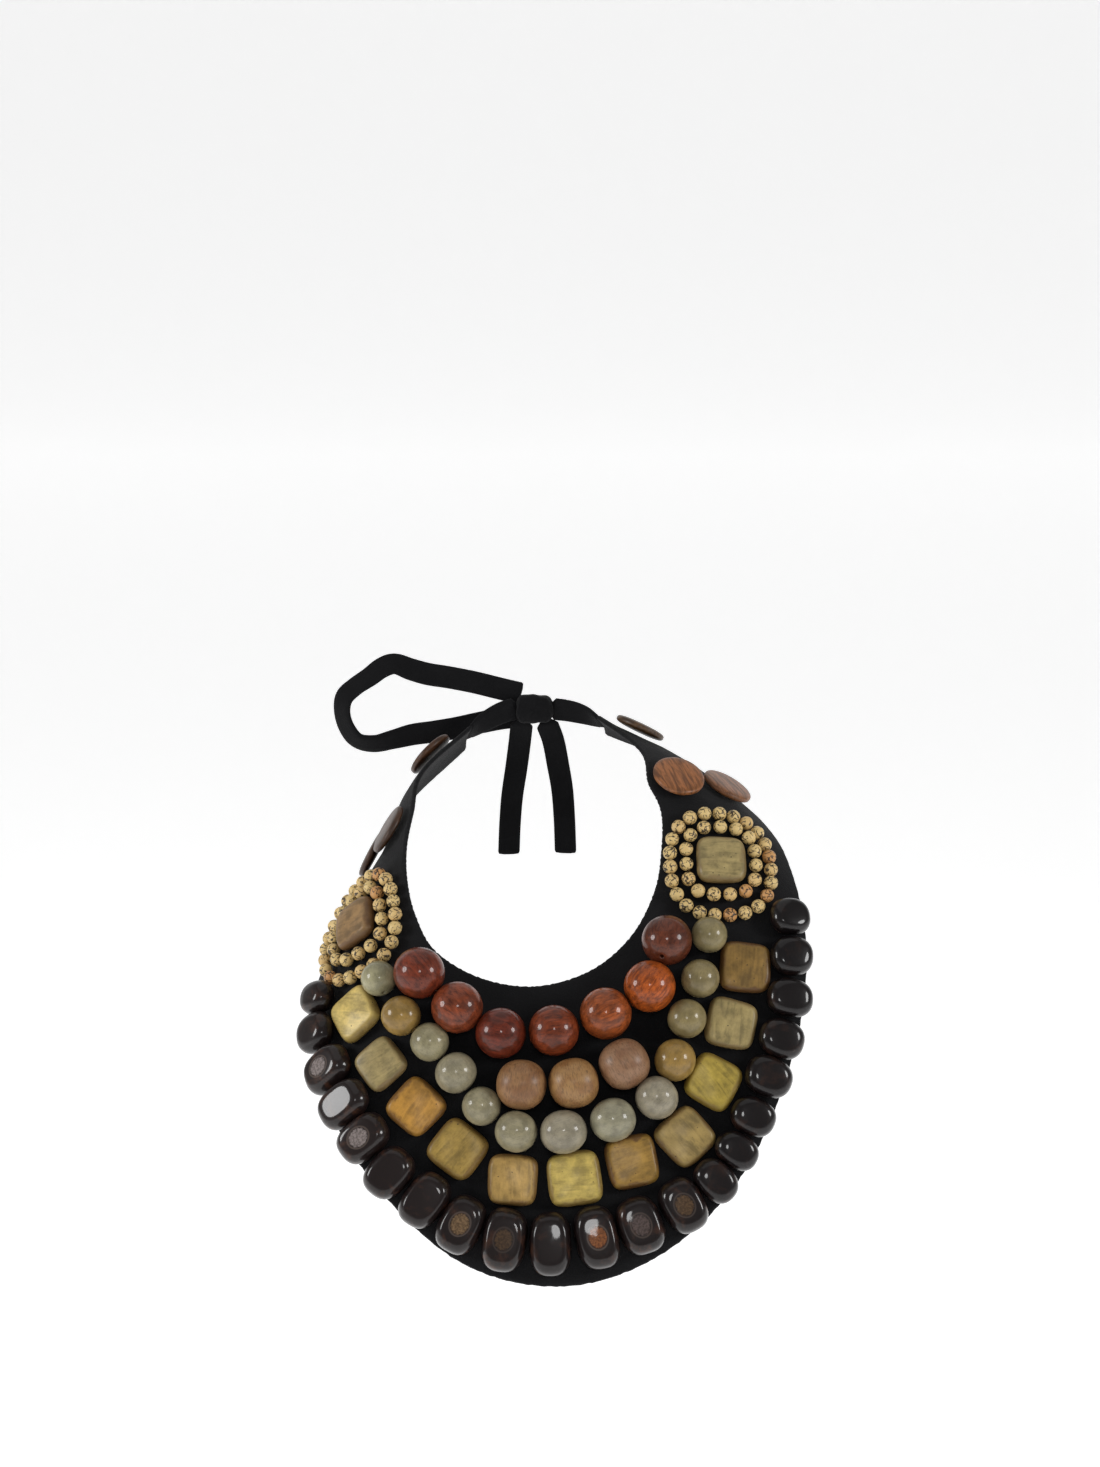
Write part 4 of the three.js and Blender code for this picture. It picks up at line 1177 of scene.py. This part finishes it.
class NECKLACE_OT_rosettes(bpy.types.Operator):
    """Two rosettes: a horn tile in two rings of speckled beads"""

    bl_idname = "necklace.rosettes"
    bl_label = "Rosettes"

    def execute(self, context):
        beads = settings()[1]
        horn, speckled = horn_paint(beads), speckled_paint(beads)
        width = beads.small_width / MM
        for number, rosette in enumerate(ROSETTES):
            at, share = rosette["at"], rosette["out"] / width_at(rosette["at"])
            point, normal, along, _across = seat(at, share)
            side = rosette["side"]
            own_frame = frame_of(point + normal * GAP, normal, along)
            node = f"rosette_tile_{side}"
            height = beads.tile_height / MM
            look = (rosette["tint"], rosette["burn"], rosette["grain"])
            tile_piece(f"{node}_cut", node, ROSETTE_TILE, height, look, own_frame, horn, 140 + number)
            plane = frame_of(point, normal, along)
            for ring in RINGS:
                self.ring(side, ring, plane, at, share, width, speckled, 160 + 20 * number)
        return {"FINISHED"}

    def ring(self, side, ring, plane, at, share, width, paint, seed):
        """Small drilled beads at equal steps along a rounded oblong that is shifted towards the front of
        the necklace, each with its hole along the ring."""
        offsets = self.round_oblong(ring)
        offsets[:, 0] += ring["shift"] * np.sign(-at)
        targets = place(np.column_stack([offsets, np.zeros(len(offsets))]), plane)
        points, normals, _along, _across = seats_under(targets, at, share, width / 2 + GAP)
        runs = np.roll(points, -1, axis=0) - np.roll(points, 1, axis=0)
        frames = frame_of(points, normals, runs)
        chance = np.random.default_rng(seed + ring["beads"])
        shape, faces = bead_shape(width, width, SMALL_HOLE, 24)
        surface = Surface()
        for k in range(len(points)):
            swell = chance.uniform(0.95, 1.0)
            tone = chance.choice([0.0, 0.1, 0.2, 0.9], p=[0.45, 0.27, 0.2, 0.08])
            own = shuffled(shape, seed * 100 + k + 40 * ring["beads"])
            amount = chance.choice([0.0, 0.5, 1.0])
            surface.add(place(shape * swell, frames[k]), faces, own=own, tone=tone, amount=amount)
        node = f"rosette_{ring['name']}_ring_{side}"
        dress(surface.make(f"{node}_beads", paint), "speckled_bead", node)

    def round_oblong(self, ring):
        """Points at equal steps of length round a superellipse, longer along the row than across it."""
        angle = np.linspace(0, TAU, 721)
        c, s = np.cos(angle), np.sin(angle)
        reach = 1 / (np.abs(c) ** ring["power"] + np.abs(s) ** ring["power"]) ** (1 / ring["power"])
        outline = np.stack([ring["along"] * reach * c, ring["across"] * reach * s], axis=1)
        lengths = np.concatenate([[0], np.cumsum(np.linalg.norm(np.diff(outline, axis=0), axis=1))])
        wanted = lengths[-1] * np.arange(ring["beads"]) / ring["beads"]
        return np.stack([np.interp(wanted, lengths, outline[:, k]) for k in range(2)], axis=1)


class NECKLACE_OT_discs(bpy.types.Operator):
    """Flat wooden discs on the shoulders"""

    bl_idname = "necklace.discs"
    bl_label = "Discs"

    def execute(self, context):
        beads = settings()[1]
        paint = disc_paint(beads)
        width = beads.disc_width / MM
        for number, disc in enumerate(DISCS):
            point, normal, along, _across = seat(disc["at"], disc["out"] / width_at(disc["at"]))
            section = dome(0.6, 36)
            shape, faces = cushion_shape(width, width, DISC_HEIGHT, 2.0, section, 96, 0.004, 200 + number)
            rim = np.clip(np.hypot(shape[:, 0], shape[:, 1]) / (width / 2) * 4 - 3, 0, 1)
            own_frame = frame_of(point + normal * DISC_LIFT, normal, along)
            own_frame = leaned(own_frame, disc["lean"])
            surface = Surface()
            own = shuffled(shape, 200 + number)
            surface.add(place(shape, own_frame), faces, own=own, tint=disc["tint"], rim=rim)
            dress(surface.make(f"{disc['name']}_turned", paint), "disc_wood", disc["name"])
        return {"FINISHED"}


OPERATORS = (
    NECKLACE_OT_stage,
    NECKLACE_OT_tie,
    NECKLACE_OT_collar,
    NECKLACE_OT_rosewood_beads,
    NECKLACE_OT_tanwood_beads,
    NECKLACE_OT_grey_beads,
    NECKLACE_OT_horn_tiles,
    NECKLACE_OT_seed_strings,
    NECKLACE_OT_rosettes,
    NECKLACE_OT_discs,
)


class VIEW3D_PT_necklace(bpy.types.Panel):
    """Lists the necklace's settings and its operators"""

    bl_label = "Necklace"
    bl_space_type = "VIEW_3D"
    bl_region_type = "UI"
    bl_category = "Necklace"

    def draw(self, context):
        for group in settings():
            for name in group.bl_rna.properties.keys():
                if name not in {"rna_type", "name"}:
                    self.layout.prop(group, name)
        for operator in OPERATORS:
            self.layout.operator(operator.bl_idname)


GROUPS = {"necklace_cloth": ClothSettings, "necklace_beads": BeadSettings, "necklace_stage": StageSettings}


def register():
    for made in (*GROUPS.values(), *OPERATORS, VIEW3D_PT_necklace):
        bpy.utils.register_class(made)
    for name, group in GROUPS.items():
        setattr(bpy.types.Scene, name, PointerProperty(type=group))


def unregister():
    for name in GROUPS:
        delattr(bpy.types.Scene, name)
    for made in reversed((*GROUPS.values(), *OPERATORS, VIEW3D_PT_necklace)):
        bpy.utils.unregister_class(made)


def main():
    register()
    for operator in OPERATORS:
        group, name = operator.bl_idname.split(".")
        getattr(getattr(bpy.ops, group), name)()


if __name__ == "__main__":
    main()
